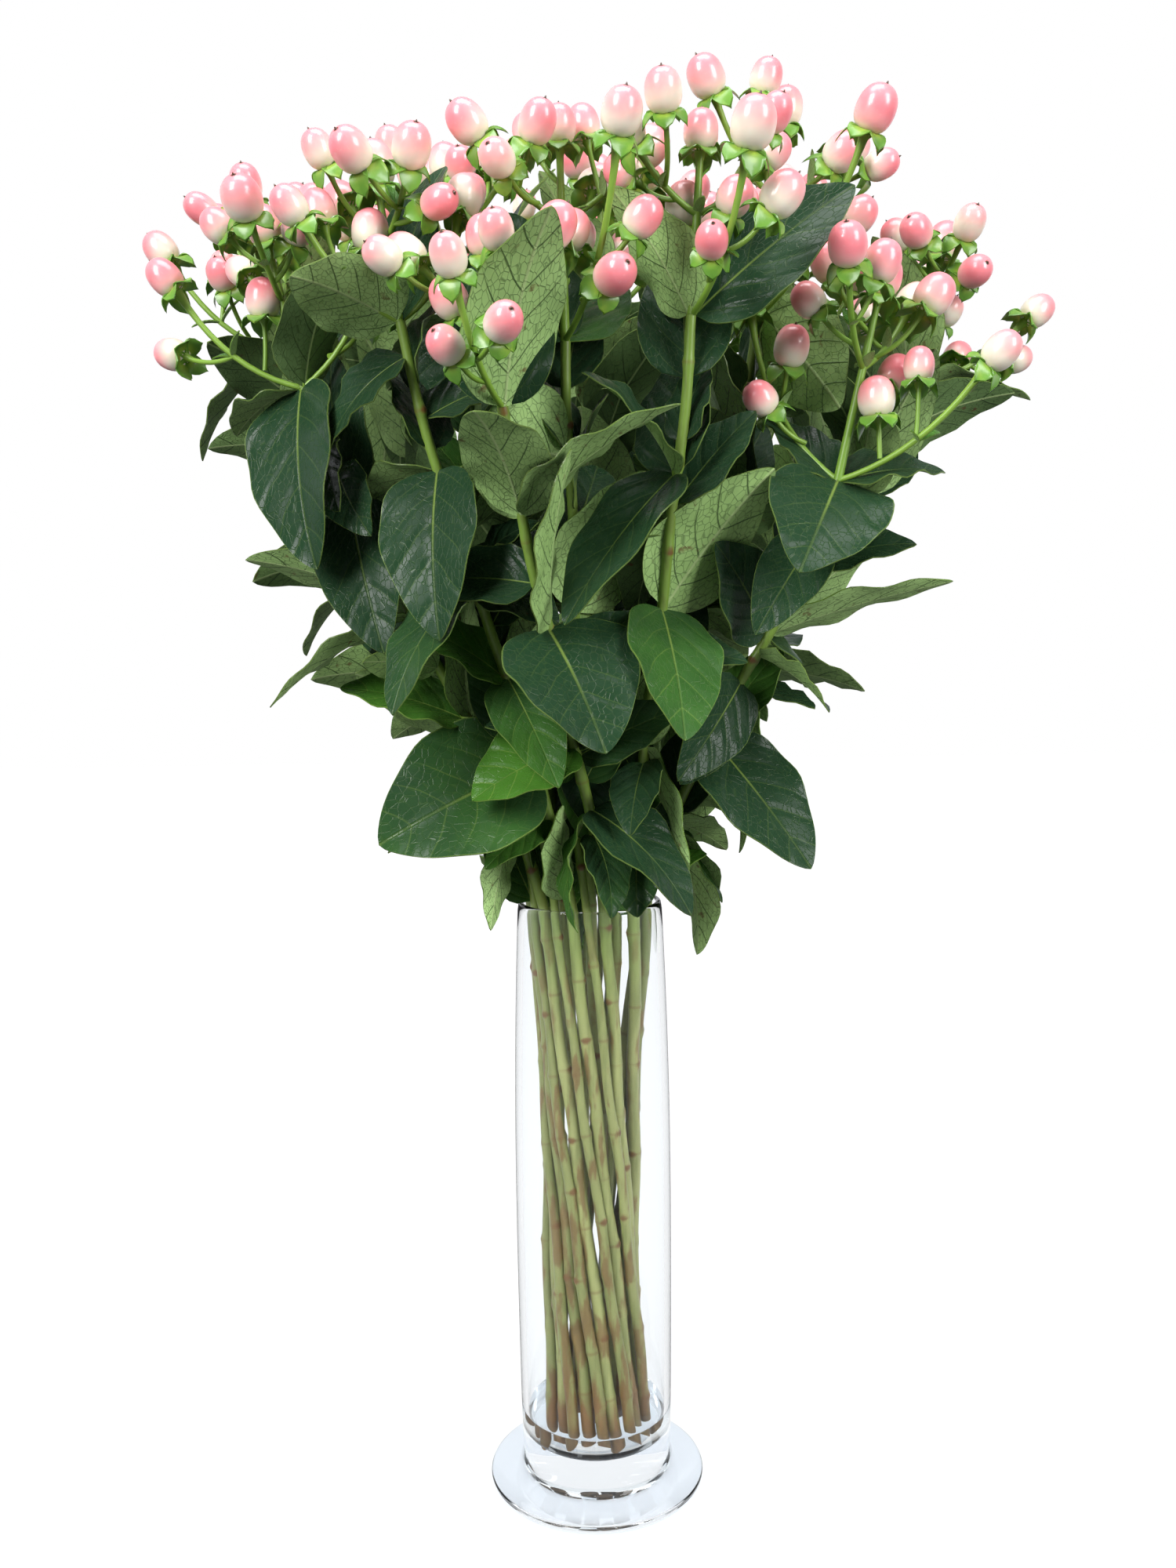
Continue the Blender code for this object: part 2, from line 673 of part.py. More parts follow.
def leaf_solid(name, leaf, group):
    points, faces = leaf_shell(leaf, LEAF_THICKNESS / 2)
    mesh = bpy.data.meshes.new(name)
    mesh.from_pydata(points, [], faces)
    work = bmesh.new()
    work.from_mesh(mesh)
    bmesh.ops.recalc_face_normals(work, faces=work.faces)
    work.to_mesh(mesh)
    work.free()
    return mesh_object(name, mesh, group)


def berry_solid(name, branch, berry, group):
    """A stalk, five sepals folded back, and an egg-shaped berry, lofted ring by ring."""
    work = bmesh.new()
    frame = Matrix.Translation(berry.base) @ berry.axis.to_track_quat("Z", "X").to_matrix().to_4x4()
    frame = frame @ Matrix.Scale(berry.size, 4)
    if branch:
        stalk = [stalk_ring(work, branch, index) for index in range(len(branch.points))]
    else:
        stalk = [berry_ring(work, frame, BRANCH_RADIUS * 0.4, 0)]
    rings = []
    for reach, height in ((0.74, 0.09), (1.05, 0.42), (0.80, 0.80)):
        rings.append(berry_ring(work, frame, reach * BERRY_WIDTH / 2, height * BERRY_LENGTH))
    notches = berry_ring(work, frame, SEPAL_NOTCH, 0.0006)
    points = berry_ring(work, frame, SEPAL_REACH, -SEPAL_DROP, -180 / SEPALS)
    tip = work.verts.new(frame @ Vector((0, 0, BERRY_LENGTH)))
    work.faces.new(list(reversed(stalk[0])))
    for step in range(SEPALS):
        after = (step + 1) % SEPALS
        for low, high in (*zip(stalk, stalk[1:]), rings[:2], rings[1:]):
            work.faces.new((low[step], low[after], high[after], high[step]))
        work.faces.new((rings[2][step], rings[2][after], tip))
        for inner, order in ((stalk[-1], 1), (rings[0], -1)):
            for face in (
                (inner[step], notches[step], points[after]),
                (inner[step], points[after], inner[after]),
                (inner[after], points[after], notches[after]),
            ):
                work.faces.new(face[::-order])
    bmesh.ops.triangulate(work, faces=work.faces)
    bmesh.ops.recalc_face_normals(work, faces=work.faces)
    mesh = bpy.data.meshes.new(name)
    work.to_mesh(mesh)
    work.free()
    return mesh_object(name, mesh, group)


def stalk_ring(work, branch, index):
    """Five corners round a stalk, facing the way that the berry's own rings do."""
    before = branch.points[max(index - 1, 0)]
    after = branch.points[min(index + 1, len(branch.points) - 1)]
    turned_to = (after - before).to_track_quat("Z", "X").to_matrix().to_4x4()
    return berry_ring(work, Matrix.Translation(branch.points[index]) @ turned_to, branch.radii[index], 0)


def berry_ring(work, frame, reach, height, turn=0):
    """Five corners at one height round a berry's axis."""
    corners = []
    for step in range(SEPALS):
        angle = math.radians(360 / SEPALS * step + turn)
        spot = Vector((reach * math.cos(angle), reach * math.sin(angle), height))
        corners.append(work.verts.new(frame @ spot))
    return corners


def leafy_stem(number, path, head, leaves, group, repeats, finish):
    """One stem with its leaves and its head of berries, joined into one body."""
    name = f"leafy_stem_{number + 1:02d}"
    branches, berries = head
    middle = branches[0]
    tip = middle.points[-1] + berries[0].axis * TIP_DEPTH
    whole = Branch(path + [middle.points[1], tip], wood(path).radii + middle.radii[1:])
    stem = tube(name, whole, 6, group)
    berry_solid("middle_berry", None, berries[0], repeats)
    for index, (branch, berry) in enumerate(zip(branches[1:], berries[1:])):
        berry_solid(f"berry_{index}", branch, berry, repeats)
    for index, leaf in enumerate(leaves):
        leaf_solid(f"leaf_{index}", leaf, repeats)
    join = stem.modifiers.new("Join", "BOOLEAN")
    join.operand_type = "COLLECTION"
    join.collection = repeats
    join.operation = "UNION"
    join.solver = "MANIFOLD"
    return applied(name, stem, repeats, group, finish)


def build():
    clear_scene()
    group = collection("hypericum_bunch")
    cutters = collection("cutters")
    repeats = collection("repeats")
    glass = material("clear_glass", (0.95, 0.98, 0.98), 0.03, 1.0, 1.5)
    clear = material("still_water", (0.97, 0.99, 1.0), 0.02, 1.0, 1.33)
    green = material("leaf_green", (0.05, 0.14, 0.05), 0.4)
    olive = material("stem_green", (0.20, 0.27, 0.06), 0.45)
    paths, heads, leaves, shorts = arrange()
    vase(group, glass)
    stems = [wood(path) for path in paths] + [wood(path, SHORT_SLIMNESS) for path in shorts]
    water(group, cutters, clear, stems)
    for number, path in enumerate(paths):
        leafy_stem(number, path, heads[number], leaves[number], group, repeats, green)
    for number, path in enumerate(shorts):
        stem = tube(f"short_stem_{number + 1:02d}", wood(path, SHORT_SLIMNESS), 6, group)
        stem.data.materials.append(olive)


build()
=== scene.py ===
"""A bunch of hypericum berry stems in a tall footed glass vase of water, dressed for its picture.

The bunch is laid out as in the part's source: the same draws and the same search put each stem,
leaf and berry where its solid is. Units are metres, +Z is up.
"""

import math
import random
from collections import namedtuple

import bmesh
import bpy
from mathutils import Matrix, Vector
from mathutils.bvhtree import BVHTree


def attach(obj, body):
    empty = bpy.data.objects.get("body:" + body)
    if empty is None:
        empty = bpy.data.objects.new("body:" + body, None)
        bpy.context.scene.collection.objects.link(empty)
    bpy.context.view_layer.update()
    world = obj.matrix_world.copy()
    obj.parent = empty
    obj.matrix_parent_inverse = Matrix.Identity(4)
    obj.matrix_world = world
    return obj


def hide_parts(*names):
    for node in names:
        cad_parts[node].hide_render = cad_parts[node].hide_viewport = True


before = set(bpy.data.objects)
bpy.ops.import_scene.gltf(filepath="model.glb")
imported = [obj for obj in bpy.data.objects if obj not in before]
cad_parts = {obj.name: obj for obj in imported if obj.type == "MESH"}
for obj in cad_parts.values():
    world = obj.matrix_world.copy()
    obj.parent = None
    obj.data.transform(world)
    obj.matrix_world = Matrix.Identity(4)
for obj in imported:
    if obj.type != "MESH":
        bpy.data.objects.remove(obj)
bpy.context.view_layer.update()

# The vase
# One piece of clear glass, turned while hot: a thick floor, a straight wall drawn in a little
# to its fire-polished rim, and a thin round foot joined on under the floor.

VASE_HEIGHT = 0.246
FOOT_RADIUS = 0.045
FOOT_EDGE = 0.0025
FOOT_RISE = 0.006
BODY_RADIUS_LOW = 0.0312
BODY_RADIUS_MID = 0.0324
RIM_RADIUS = 0.0295
WALL = 0.0026
WALL_START = 0.0235
WALL_END_BELOW_RIM = 0.0035
WALL_STEPS = 24
LIP_RADIUS = 0.0011
FLOOR_TOP = 0.0195
CORNER_RADIUS = 0.0046
CORNER_CENTRE = 0.0240
HOLLOW_CENTRE = (0.0347, 0.0092)
HOLLOW_RADIUS = 0.0040
# Radius and height of points on the floor from its top, on the foot from its rise, and under the foot
FLOOR_DIP = ((0, -0.0006), (0.012, -0.0005), (0.021, -0.0001))
FOOT_SLOPE = ((0.0372, -0.0012), (0.0410, -0.0023))
FOOT_UNDERSIDE = ((0.030, 0.0002), (0.012, 0.0006), (0, 0.0007))
FINE_SEGMENTS = 128
GLASS_COLOUR = (0.955, 0.972, 0.985)
# Below real glass, at about 1.5, which turns the thin edges of the rim and the foot black
GLASS_IOR = 1.28


def inner_radius(height):
    """The inside of the vase: widest about half way up, then drawn in to the rim."""
    share = min(1.0, max(0.0, height / VASE_HEIGHT))
    low = BODY_RADIUS_LOW + (BODY_RADIUS_MID - BODY_RADIUS_LOW) * math.sin(math.pi * min(share, 0.5))
    drawn = (BODY_RADIUS_MID - RIM_RADIUS) * max(0.0, share - 0.5) ** 2 * 4
    return low - drawn - WALL


def piece(mesh, slot, node, *finishes):
    """Puts a mesh in the scene under its own name, riding on the root and standing for a node."""
    for finish in finishes:
        mesh.materials.append(finish)
    item = bpy.data.objects.new(mesh.name, mesh)
    bpy.context.scene.collection.objects.link(item)
    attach(item, "root")
    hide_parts(node)


def new_finish(name, **values):
    """A material with its Principled shader's plain values set, and the two to work on."""
    finish = bpy.data.materials.new(name)
    finish.use_nodes = True
    shader = finish.node_tree.nodes["Principled BSDF"]
    for socket, value in values.items():
        shader.inputs[socket.replace("_", " ")].default_value = value
    return finish, finish.node_tree, shader


def clear_finish(name, colour, index):
    """Something clear and smooth, from its colour and its refractive index."""
    return new_finish(name, Base_Color=(*colour, 1), Roughness=0.0, IOR=index, Transmission_Weight=1.0)[0]


def lathe(name, profile, sharp=50):
    """A closed profile of (radius, height), from the axis back to the axis, turned into a mesh."""
    work = bmesh.new()
    rings = []
    for radius, height in profile:
        if radius < 1e-6:
            rings.append([work.verts.new((0, 0, height))])
            continue
        ring = []
        for step in range(FINE_SEGMENTS):
            turn = 2 * math.pi * step / FINE_SEGMENTS
            ring.append(work.verts.new((radius * math.cos(turn), radius * math.sin(turn), height)))
        rings.append(ring)
    for low, high in zip(rings, rings[1:]):
        for step in range(FINE_SEGMENTS):
            after = (step + 1) % FINE_SEGMENTS
            corners = [low[step % len(low)], low[after % len(low)]]
            corners += [high[after % len(high)], high[step % len(high)]]
            work.faces.new(list(dict.fromkeys(corners)))
    bmesh.ops.recalc_face_normals(work, faces=work.faces)
    mesh = bpy.data.meshes.new(name)
    work.to_mesh(mesh)
    work.free()
    mesh.shade_smooth()
    mesh.set_sharp_from_angle(angle=math.radians(sharp))
    return mesh


def arc(centre, radius, start, end, steps):
    """Points of (radius, height) along an arc between two angles in degrees."""
    points = []
    for step in range(steps + 1):
        turn = math.radians(start + (end - start) * step / steps)
        points.append((centre[0] + radius * math.cos(turn), centre[1] + radius * math.sin(turn)))
    return points


def inside_corner(outwards, start, end):
    """The rounded corner between the floor and the wall, moved outwards by a little."""
    centre = (inner_radius(WALL_START) - CORNER_RADIUS + outwards, CORNER_CENTRE)
    return arc(centre, CORNER_RADIUS, start, end, 8)


def vase_profile():
    """From the middle of the floor up the inside, over the rim, down the outside and under the foot."""
    straight = VASE_HEIGHT - WALL_END_BELOW_RIM - WALL_START
    body = [WALL_START + straight * step / WALL_STEPS for step in range(WALL_STEPS + 1)]
    profile = [(radius, FLOOR_TOP + dip) for radius, dip in FLOOR_DIP]
    profile += inside_corner(0, -86, -6)
    profile += [(inner_radius(height), height) for height in body[1:]]
    lip = inner_radius(VASE_HEIGHT) + WALL / 2
    profile += arc((lip, VASE_HEIGHT - LIP_RADIUS), LIP_RADIUS, 180, 0, 10)
    profile += [(inner_radius(height) + WALL, height) for height in reversed(body)]
    profile += [(inner_radius(0.016) + WALL, 0.0165), (inner_radius(0.014) + WALL * 0.9, 0.0135)]
    profile += arc(HOLLOW_CENTRE, HOLLOW_RADIUS, 172, 262, 8)
    profile += [(radius, FOOT_RISE + fall) for radius, fall in FOOT_SLOPE]
    profile += arc((FOOT_RADIUS - FOOT_EDGE / 2, FOOT_EDGE / 2 + 0.0001), FOOT_EDGE / 2, 80, -90, 8)
    return profile + list(FOOT_UNDERSIDE)


clear_glass = clear_finish("clear_glass", GLASS_COLOUR, GLASS_IOR)
piece(lathe("glass_vase", vase_profile()), "clear_glass", "vase", clear_glass)

# The water
# A shallow depth of still water round the stems' feet, a little higher where it wets the glass.
# It meets the wall with no air between, so the two meshes share a thin skin of glass.

WATER_LEVEL = 0.028
SURFACE_RINGS = (0.6, 0.8, 0.88, 0.94, 0.975, 1.0)
MENISCUS = 0.0016
MENISCUS_START, MENISCUS_WIDTH = 0.8, 0.2
SHARED_SKIN = 0.0001
WET_WALL_LOW = 0.0245
WET_WALL_STEPS = 24
WATER_COLOUR = (0.975, 0.992, 0.99)
WATER_IOR = 1.33


def water_profile():
    """From the middle of the surface out to the glass, down the wall and back along the floor."""
    reach = inner_radius(WATER_LEVEL) + SHARED_SKIN
    profile = [(0, WATER_LEVEL)]
    for share in SURFACE_RINGS:
        climb = max(0, (share - MENISCUS_START) / MENISCUS_WIDTH) ** 3
        profile.append((reach * share, WATER_LEVEL + MENISCUS * climb))
    for step in range(WET_WALL_STEPS):
        height = WATER_LEVEL - (WATER_LEVEL - WET_WALL_LOW) * (step + 1) / WET_WALL_STEPS
        profile.append((inner_radius(height) + SHARED_SKIN, height))
    profile += inside_corner(SHARED_SKIN, -6, -86)
    return profile + [(0.012, FLOOR_TOP - 0.0006), (0, FLOOR_TOP - 0.0007)]


still_water = clear_finish("still_water", WATER_COLOUR, WATER_IOR)
piece(lathe("still_water", water_profile()), "still_water", "water", still_water)

# The stems
# Green shoots cut off at a slant, swollen and brown-ringed where their leaves grew. They stand in
# the vase in two rings that lean the same way, and bend out above its rim. Shorter ones stand
# between them, and are made with the leaves, because each ends where the leaves leave it room.

MM = 0.001

STEM_RADIUS_LOW = 0.0029
STEM_RADIUS_TOP = 0.0018
BRANCH_RADIUS = 0.0011
FOOT_RING = {"outer": 0.0190, "inner": 0.0088}
RIM_RING = {"outer": 0.0238, "inner": 0.0110}
RING_COUNT = {"outer": 11, "inner": 4}
RING_START = {"outer": -141.0, "inner": 180.0}
TWIST = 75.0
STEM_FOOT = 0.0205
STEM_FOOT_SPREAD = 0.004
RIM_LEAN = 0.5
TOP_UPTURN = 0.4
SHORT_GROOVES = (0, 1, 2, 3, 5, 7, 9, 10)
SHORT_TOPS = (0.395, 0.370, 0.345, 0.320, 0.295, 0.275)
SHORT_FOOT_RING = 0.0215
SHORT_SLIMNESS = 0.86
SHORT_BOW = 0.0016
SHORT_PULL = 0.9
# Each stem: its ring, its top leaf pair's place and its berry head's height in mm, and its berries
STEMS = (
    ("outer", (-105, -30, 447), 62, 5),
    ("outer", (-64, -62, 463), 52, 5),
    ("outer", (-27, -85, 429), 56, 5),
    ("outer", (38, -70, 462), 62, 5),
    ("outer", (94, -40, 409), 78, 5),
    ("outer", (139, 40, 458), 66, 4),
    ("outer", (94, 66, 482), 56, 4),
    ("outer", (58, 112, 488), 60, 4),
    ("outer", (-20, 116, 492), 58, 4),
    ("outer", (-86, 90, 484), 56, 4),
    ("outer", (-126, 34, 474), 62, 4),
    ("inner", (-48, 2, 478), 64, 4),
    ("inner", (-6, -60, 456), 76, 4),
    ("inner", (70, -4, 478), 84, 4),
    ("inner", (8, 58, 492), 64, 4),
)
Branch = namedtuple("Branch", "points radii")


def direction(azimuth, elevation):
    """A unit vector from two angles in degrees."""
    turn, lift = math.radians(azimuth), math.radians(elevation)
    return Vector((math.cos(turn) * math.cos(lift), math.sin(turn) * math.cos(lift), math.sin(lift)))


def on_ring(radius, azimuth, height):
    turn = math.radians(azimuth)
    return Vector((radius * math.cos(turn), radius * math.sin(turn), height))


def ring_azimuth(number):
    """The stems of a ring stand at even steps round it, in the order of STEMS."""
    ring = STEMS[number][0]
    before = sum(1 for other in STEMS[:number] if other[0] == ring)
    return RING_START[ring] + before * 360 / RING_COUNT[ring]


def stem_path(number):
    """Points up a stem: straight from the vase's floor to its rim, then bending out to the top leaves."""
    ring, top = STEMS[number][:2]
    turn = ring_azimuth(number)
    draw = random.Random(100 + number)
    foot = on_ring(FOOT_RING[ring], turn + TWIST, STEM_FOOT + draw.random() * STEM_FOOT_SPREAD)
    rim = on_ring(RIM_RING[ring], turn, VASE_HEIGHT)
    return [foot] + above_rim(foot, rim, Vector(top) * MM, 5)


def above_rim(foot, rim, top, steps):
    """Points up the bent part of a stem, from the rim to the top leaves."""
    rise = (top - rim).length
    lean = (top - rim).normalized()
    leave = ((rim - foot).normalized() + lean * RIM_LEAN).normalized() * rise
    arrive = (lean + Vector((0, 0, TOP_UPTURN))).normalized() * rise
    return curve(rim, leave, top, arrive, steps)


def curve(start, leave, end, arrive, steps):
    """Points along the smooth curve between two ends with given directions."""
    points = []
    for step in range(steps + 1):
        share = step / steps
        a, b = share * share, share * share * share
        from_start = start * (2 * b - 3 * a + 1) + leave * (b - 2 * a + share)
        points.append(from_start + end * (3 * a - 2 * b) + arrive * (b - a))
    return points


def at_height(path, height):
    """The place and the direction of a stem where it passes a height."""
    for low, high in zip(path, path[1:]):
        if low.z <= height <= high.z:
            return low.lerp(high, (height - low.z) / (high.z - low.z)), (high - low).normalized()
    return path[-1], (path[-1] - path[-2]).normalized()


def stem_radius(height, top):
    share = min(1.0, max(0.0, height / top))
    return STEM_RADIUS_LOW + (STEM_RADIUS_TOP - STEM_RADIUS_LOW) * share


def wood(path, slimness=1.0):
    """A stem as a branch that tapers to its top."""
    return Branch(path, [stem_radius(point.z, path[-1].z) * slimness for point in path])


def short_path(groove, height, paths, low_steps, high_steps):
    """Up a short stem: bowed out between two outer stems in the vase, then half way between them."""
    turn = RING_START["outer"] + (groove - 0.5) * 360 / RING_COUNT["outer"]
    draw = random.Random(140 + groove)
    foot = on_ring(SHORT_FOOT_RING, turn + TWIST, STEM_FOOT + draw.random() * STEM_FOOT_SPREAD)
    rim = on_ring(RIM_RING["outer"], turn, VASE_HEIGHT)
    points = []
    for step in range(low_steps):
        share = step / low_steps
        point = foot.lerp(rim, share)
        outward = Vector((point.x, point.y, 0)).normalized()
        points.append(point + outward * SHORT_BOW * math.sin(math.pi * share))
    before, after = paths[(groove - 1) % RING_COUNT["outer"]], paths[groove]
    top = at_height(before, height)[0].lerp(at_height(after, height)[0], 0.5)
    top = Vector((top.x * SHORT_PULL, top.y * SHORT_PULL, top.z))
    rise = (top - rim).length
    leave = (rim - points[-1]).normalized() * rise
    arrive = (top - rim).normalized() * rise
    return points + curve(rim, leave, top, arrive, high_steps)


def add(tree, kind, inputs=None, **settings):
    """A shader node with its settings, and its inputs set to a value or fed by another node."""
    step = tree.nodes.new(kind)
    for key, value in settings.items():
        setattr(step, key, value)
    for socket, value in (inputs or {}).items():
        if isinstance(value, bpy.types.NodeSocket):
            tree.links.new(value, step.inputs[socket])
        else:
            step.inputs[socket].default_value = value
    return step


def maths(tree, operation, *values):
    """A Math node's result."""
    return add(tree, "ShaderNodeMath", dict(enumerate(values)), operation=operation).outputs[0]


def ease(tree, value, low, high):
    """How far a value has come from one limit to the other, smoothly, from 0 to 1."""
    inputs = {"Value": value, "From Min": low, "From Max": high}
    return add(tree, "ShaderNodeMapRange", inputs, interpolation_type="SMOOTHSTEP").outputs[0]


def times(tree, *values):
    """Several values multiplied together."""
    product = values[0]
    for value in values[1:]:
        product = maths(tree, "MULTIPLY", product, value)
    return product


def plus(tree, *values):
    """Several values added up."""
    total = values[0]
    for value in values[1:]:
        total = maths(tree, "ADD", total, value)
    return total


def minus(tree, value, *taken):
    """A value with others taken from it."""
    for other in taken:
        value = maths(tree, "SUBTRACT", value, other)
    return value


# Sockets of the Mix node: the amount, the two colours, and the blended colour that comes out
MIX_AMOUNT, MIX_ONE, MIX_OTHER, MIX_COLOUR = 0, 6, 7, 2


def blend(tree, amount, one, other):
    """One colour turning into another."""
    one, other = [(*colour, 1) if isinstance(colour, tuple) else colour for colour in (one, other)]
    inputs = {MIX_AMOUNT: amount, MIX_ONE: one, MIX_OTHER: other}
    return add(tree, "ShaderNodeMix", inputs, data_type="RGBA").outputs[MIX_COLOUR]


def place_of(tree):
    """The three numbers that a mesh gives each of its points, such as how far along a leaf it is."""
    place = add(tree, "ShaderNodeAttribute", attribute_name="place").outputs["Vector"]
    return tuple(add(tree, "ShaderNodeSeparateXYZ", {"Vector": place}).outputs)


def tone_of(tree):
    """The number that each stem, leaf, stalk or berry has as a whole, so that they don't all look alike; on
    the leaves inside the bunch it also carries painted shade.
    """
    return add(tree, "ShaderNodeAttribute", attribute_name="tone").outputs["Fac"]


def noise_at(tree, vector, scale, detail=2.0, stretch=(1, 1, 1)):
    """Smooth noise over a vector, stretched along its axes."""
    spread = add(tree, "ShaderNodeVectorMath", {0: vector, 1: stretch}, operation="MULTIPLY")
    inputs = {"Vector": spread.outputs[0], "Scale": scale, "Detail": detail}
    return add(tree, "ShaderNodeTexNoise", inputs).outputs[0]


def surface_points(tree):
    """The point of the object, in metres."""
    return add(tree, "ShaderNodeTexCoord").outputs["Object"]


def give_bumps(tree, shader, height, strength, distance):
    """Bumps in a finish, as high as a value says, that leave the mesh as it is."""
    bump = add(tree, "ShaderNodeBump", {"Strength": strength, "Distance": distance, "Height": height})
    tree.links.new(bump.outputs[0], shader.inputs["Normal"])


class Batch:
    """Points, faces and looks gathered for one mesh, with each point's place and tone."""

    def __init__(self):
        self.points, self.faces, self.looks, self.places, self.tones = [], [], [], [], []

    def add(self, points, faces, places, tone, look=0):
        start = len(self.points)
        self.points += points
        self.faces += [tuple(start + corner for corner in face) for face in faces]
        self.looks += look if isinstance(look, list) else [look] * len(faces)
        self.places += places
        self.tones += [tone] * len(points)

    def mesh(self, name, sharp=60):
        made = bpy.data.meshes.new(name)
        made.from_pydata(self.points, [], self.faces)
        made.polygons.foreach_set("material_index", self.looks)
        place = made.attributes.new("place", "FLOAT_VECTOR", "POINT")
        place.data.foreach_set("vector", [number for spot in self.places for number in spot])
        tone = made.attributes.new("tone", "FLOAT", "POINT")
        tone.data.foreach_set("value", self.tones)
        made.shade_smooth()
        made.set_sharp_from_angle(angle=math.radians(sharp))
        return made


def tube(points, radii, sides, cut=0.0):
    """Rings round a line of points, closed at both ends, and how far along and round each point is."""
    ways = []
    for index in range(len(points)):
        before, after = points[max(index - 1, 0)], points[min(index + 1, len(points) - 1)]
        ways.append((after - before).normalized())
    side = ways[0].orthogonal().normalized()
    made, faces, places, travelled = [], [], [], 0.0
    for index, (point, way) in enumerate(zip(points, ways)):
        side = (side - way * side.dot(way)).normalized()
        other = way.cross(side)
        travelled += (point - points[index - 1]).length if index else 0
        for step in range(sides):
            turn = 2 * math.pi * step / sides
            spot = point + (side * math.cos(turn) + other * math.sin(turn)) * radii[index]
            if index == 0:
                spot += way * cut * math.cos(turn)
            made.append(spot)
            places.append((travelled, step / sides, radii[index]))
    for ring in range(len(points) - 1):
        for step in range(sides):
            a, b = ring * sides + step, ring * sides + (step + 1) % sides
            faces.append((a, b, b + sides, a + sides))
    made += [points[0], points[-1]]
    places += [(0, 0, 0), (travelled, 0, 0)]
    last = len(made) - 2 - sides
    for step in range(sides):
        after = (step + 1) % sides
        faces += [(len(made) - 2, after, step), (len(made) - 1, last + step, last + after)]
    return made, faces, places


FIRST_NODE, FIRST_NODE_DRIFT = 0.012, 0.014
NODE_SPACING = 0.028
NODE_STEPS = (0.7, 1.45)
NODE_SWELL = 0.00030
NODE_REACH = 0.0017
NODE_TURN = 97
SCAR_SWELL = 0.00055
STEM_WOBBLE = 0.00045
WOBBLE_LENGTH = 0.012
WOBBLE_START = 0.03
STEM_STEP = 0.0022
STEM_SIDES = 14
SLANT_CUT = 0.0035
WHOLE_TURN = 6.28


def stem_nodes(number, path):
    """Distances from the foot at which a stem has a ring, drawn at nearly even steps."""
    draw = random.Random(300 + number)
    length = sum((high - low).length for low, high in zip(path, path[1:]))
    rings, at = [], FIRST_NODE + FIRST_NODE_DRIFT * draw.random()
    while at < length:
        rings.append(at)
        at += NODE_SPACING * draw.uniform(*NODE_STEPS)
    return rings


def fine_path(path):
    """The stem's own curve, with points close enough to round its nodes."""
    foot, rim, top = path[0], path[1], path[-1]
    low = int((rim - foot).length / STEM_STEP)
    high = int((top - rim).length / STEM_STEP)
    return [foot.lerp(rim, step / low) for step in range(low)] + above_rim(foot, rim, top, high)


def stem_mesh(name, number, points, slimness=1.0):
    """One stem as a mesh: swollen at its nodes, with a scar on alternate sides where each leaf grew."""
    draw = random.Random(320 + number)
    rings = stem_nodes(number, points)
    phase = draw.uniform(0, WHOLE_TURN)
    radii, near, middle, travelled = [], [], [], 0.0
    for index, point in enumerate(points):
        travelled += (point - points[index - 1]).length if index else 0
        closest = min(range(len(rings)), key=lambda ring: abs(travelled - rings[ring]))
        closeness = math.exp(-(((travelled - rings[closest]) / NODE_REACH) ** 2))
        radii.append(stem_radius(point.z, points[-1].z) * slimness + NODE_SWELL * closeness)
        near.append((closeness, math.radians(NODE_TURN * closest) + phase))
        swing = STEM_WOBBLE * math.sin(travelled / WOBBLE_LENGTH + phase)
        swing *= min(1.0, travelled / WOBBLE_START)
        middle.append(point + Vector((swing, swing * math.cos(phase), 0)))
    made, faces, places = tube(middle, radii, STEM_SIDES, SLANT_CUT * draw.uniform(-1, 1))
    marked = []
    for index, (along, around, _) in enumerate(places):
        ring = min(index // STEM_SIDES, len(near) - 1)
        closeness, facing = near[ring] if index < len(places) - 2 else (0, 0)
        scar = closeness * max(0.0, math.cos(2 * math.pi * around - facing)) ** 2
        if scar > 0:
            made[index] = made[index] + (made[index] - middle[ring]).normalized() * SCAR_SWELL * scar
        marked.append((along, closeness, scar))
    batch = Batch()
    batch.add(made, faces, marked, draw.random())
    return batch.mesh(name)


STEM_GREEN = (0.165, 0.275, 0.040)
STEM_OLIVE = (0.295, 0.315, 0.115)
STEM_SHADED = (0.110, 0.135, 0.030)
STEM_BROWN = (0.155, 0.075, 0.020)
STEM_FOOT_BROWN = (0.165, 0.080, 0.022)


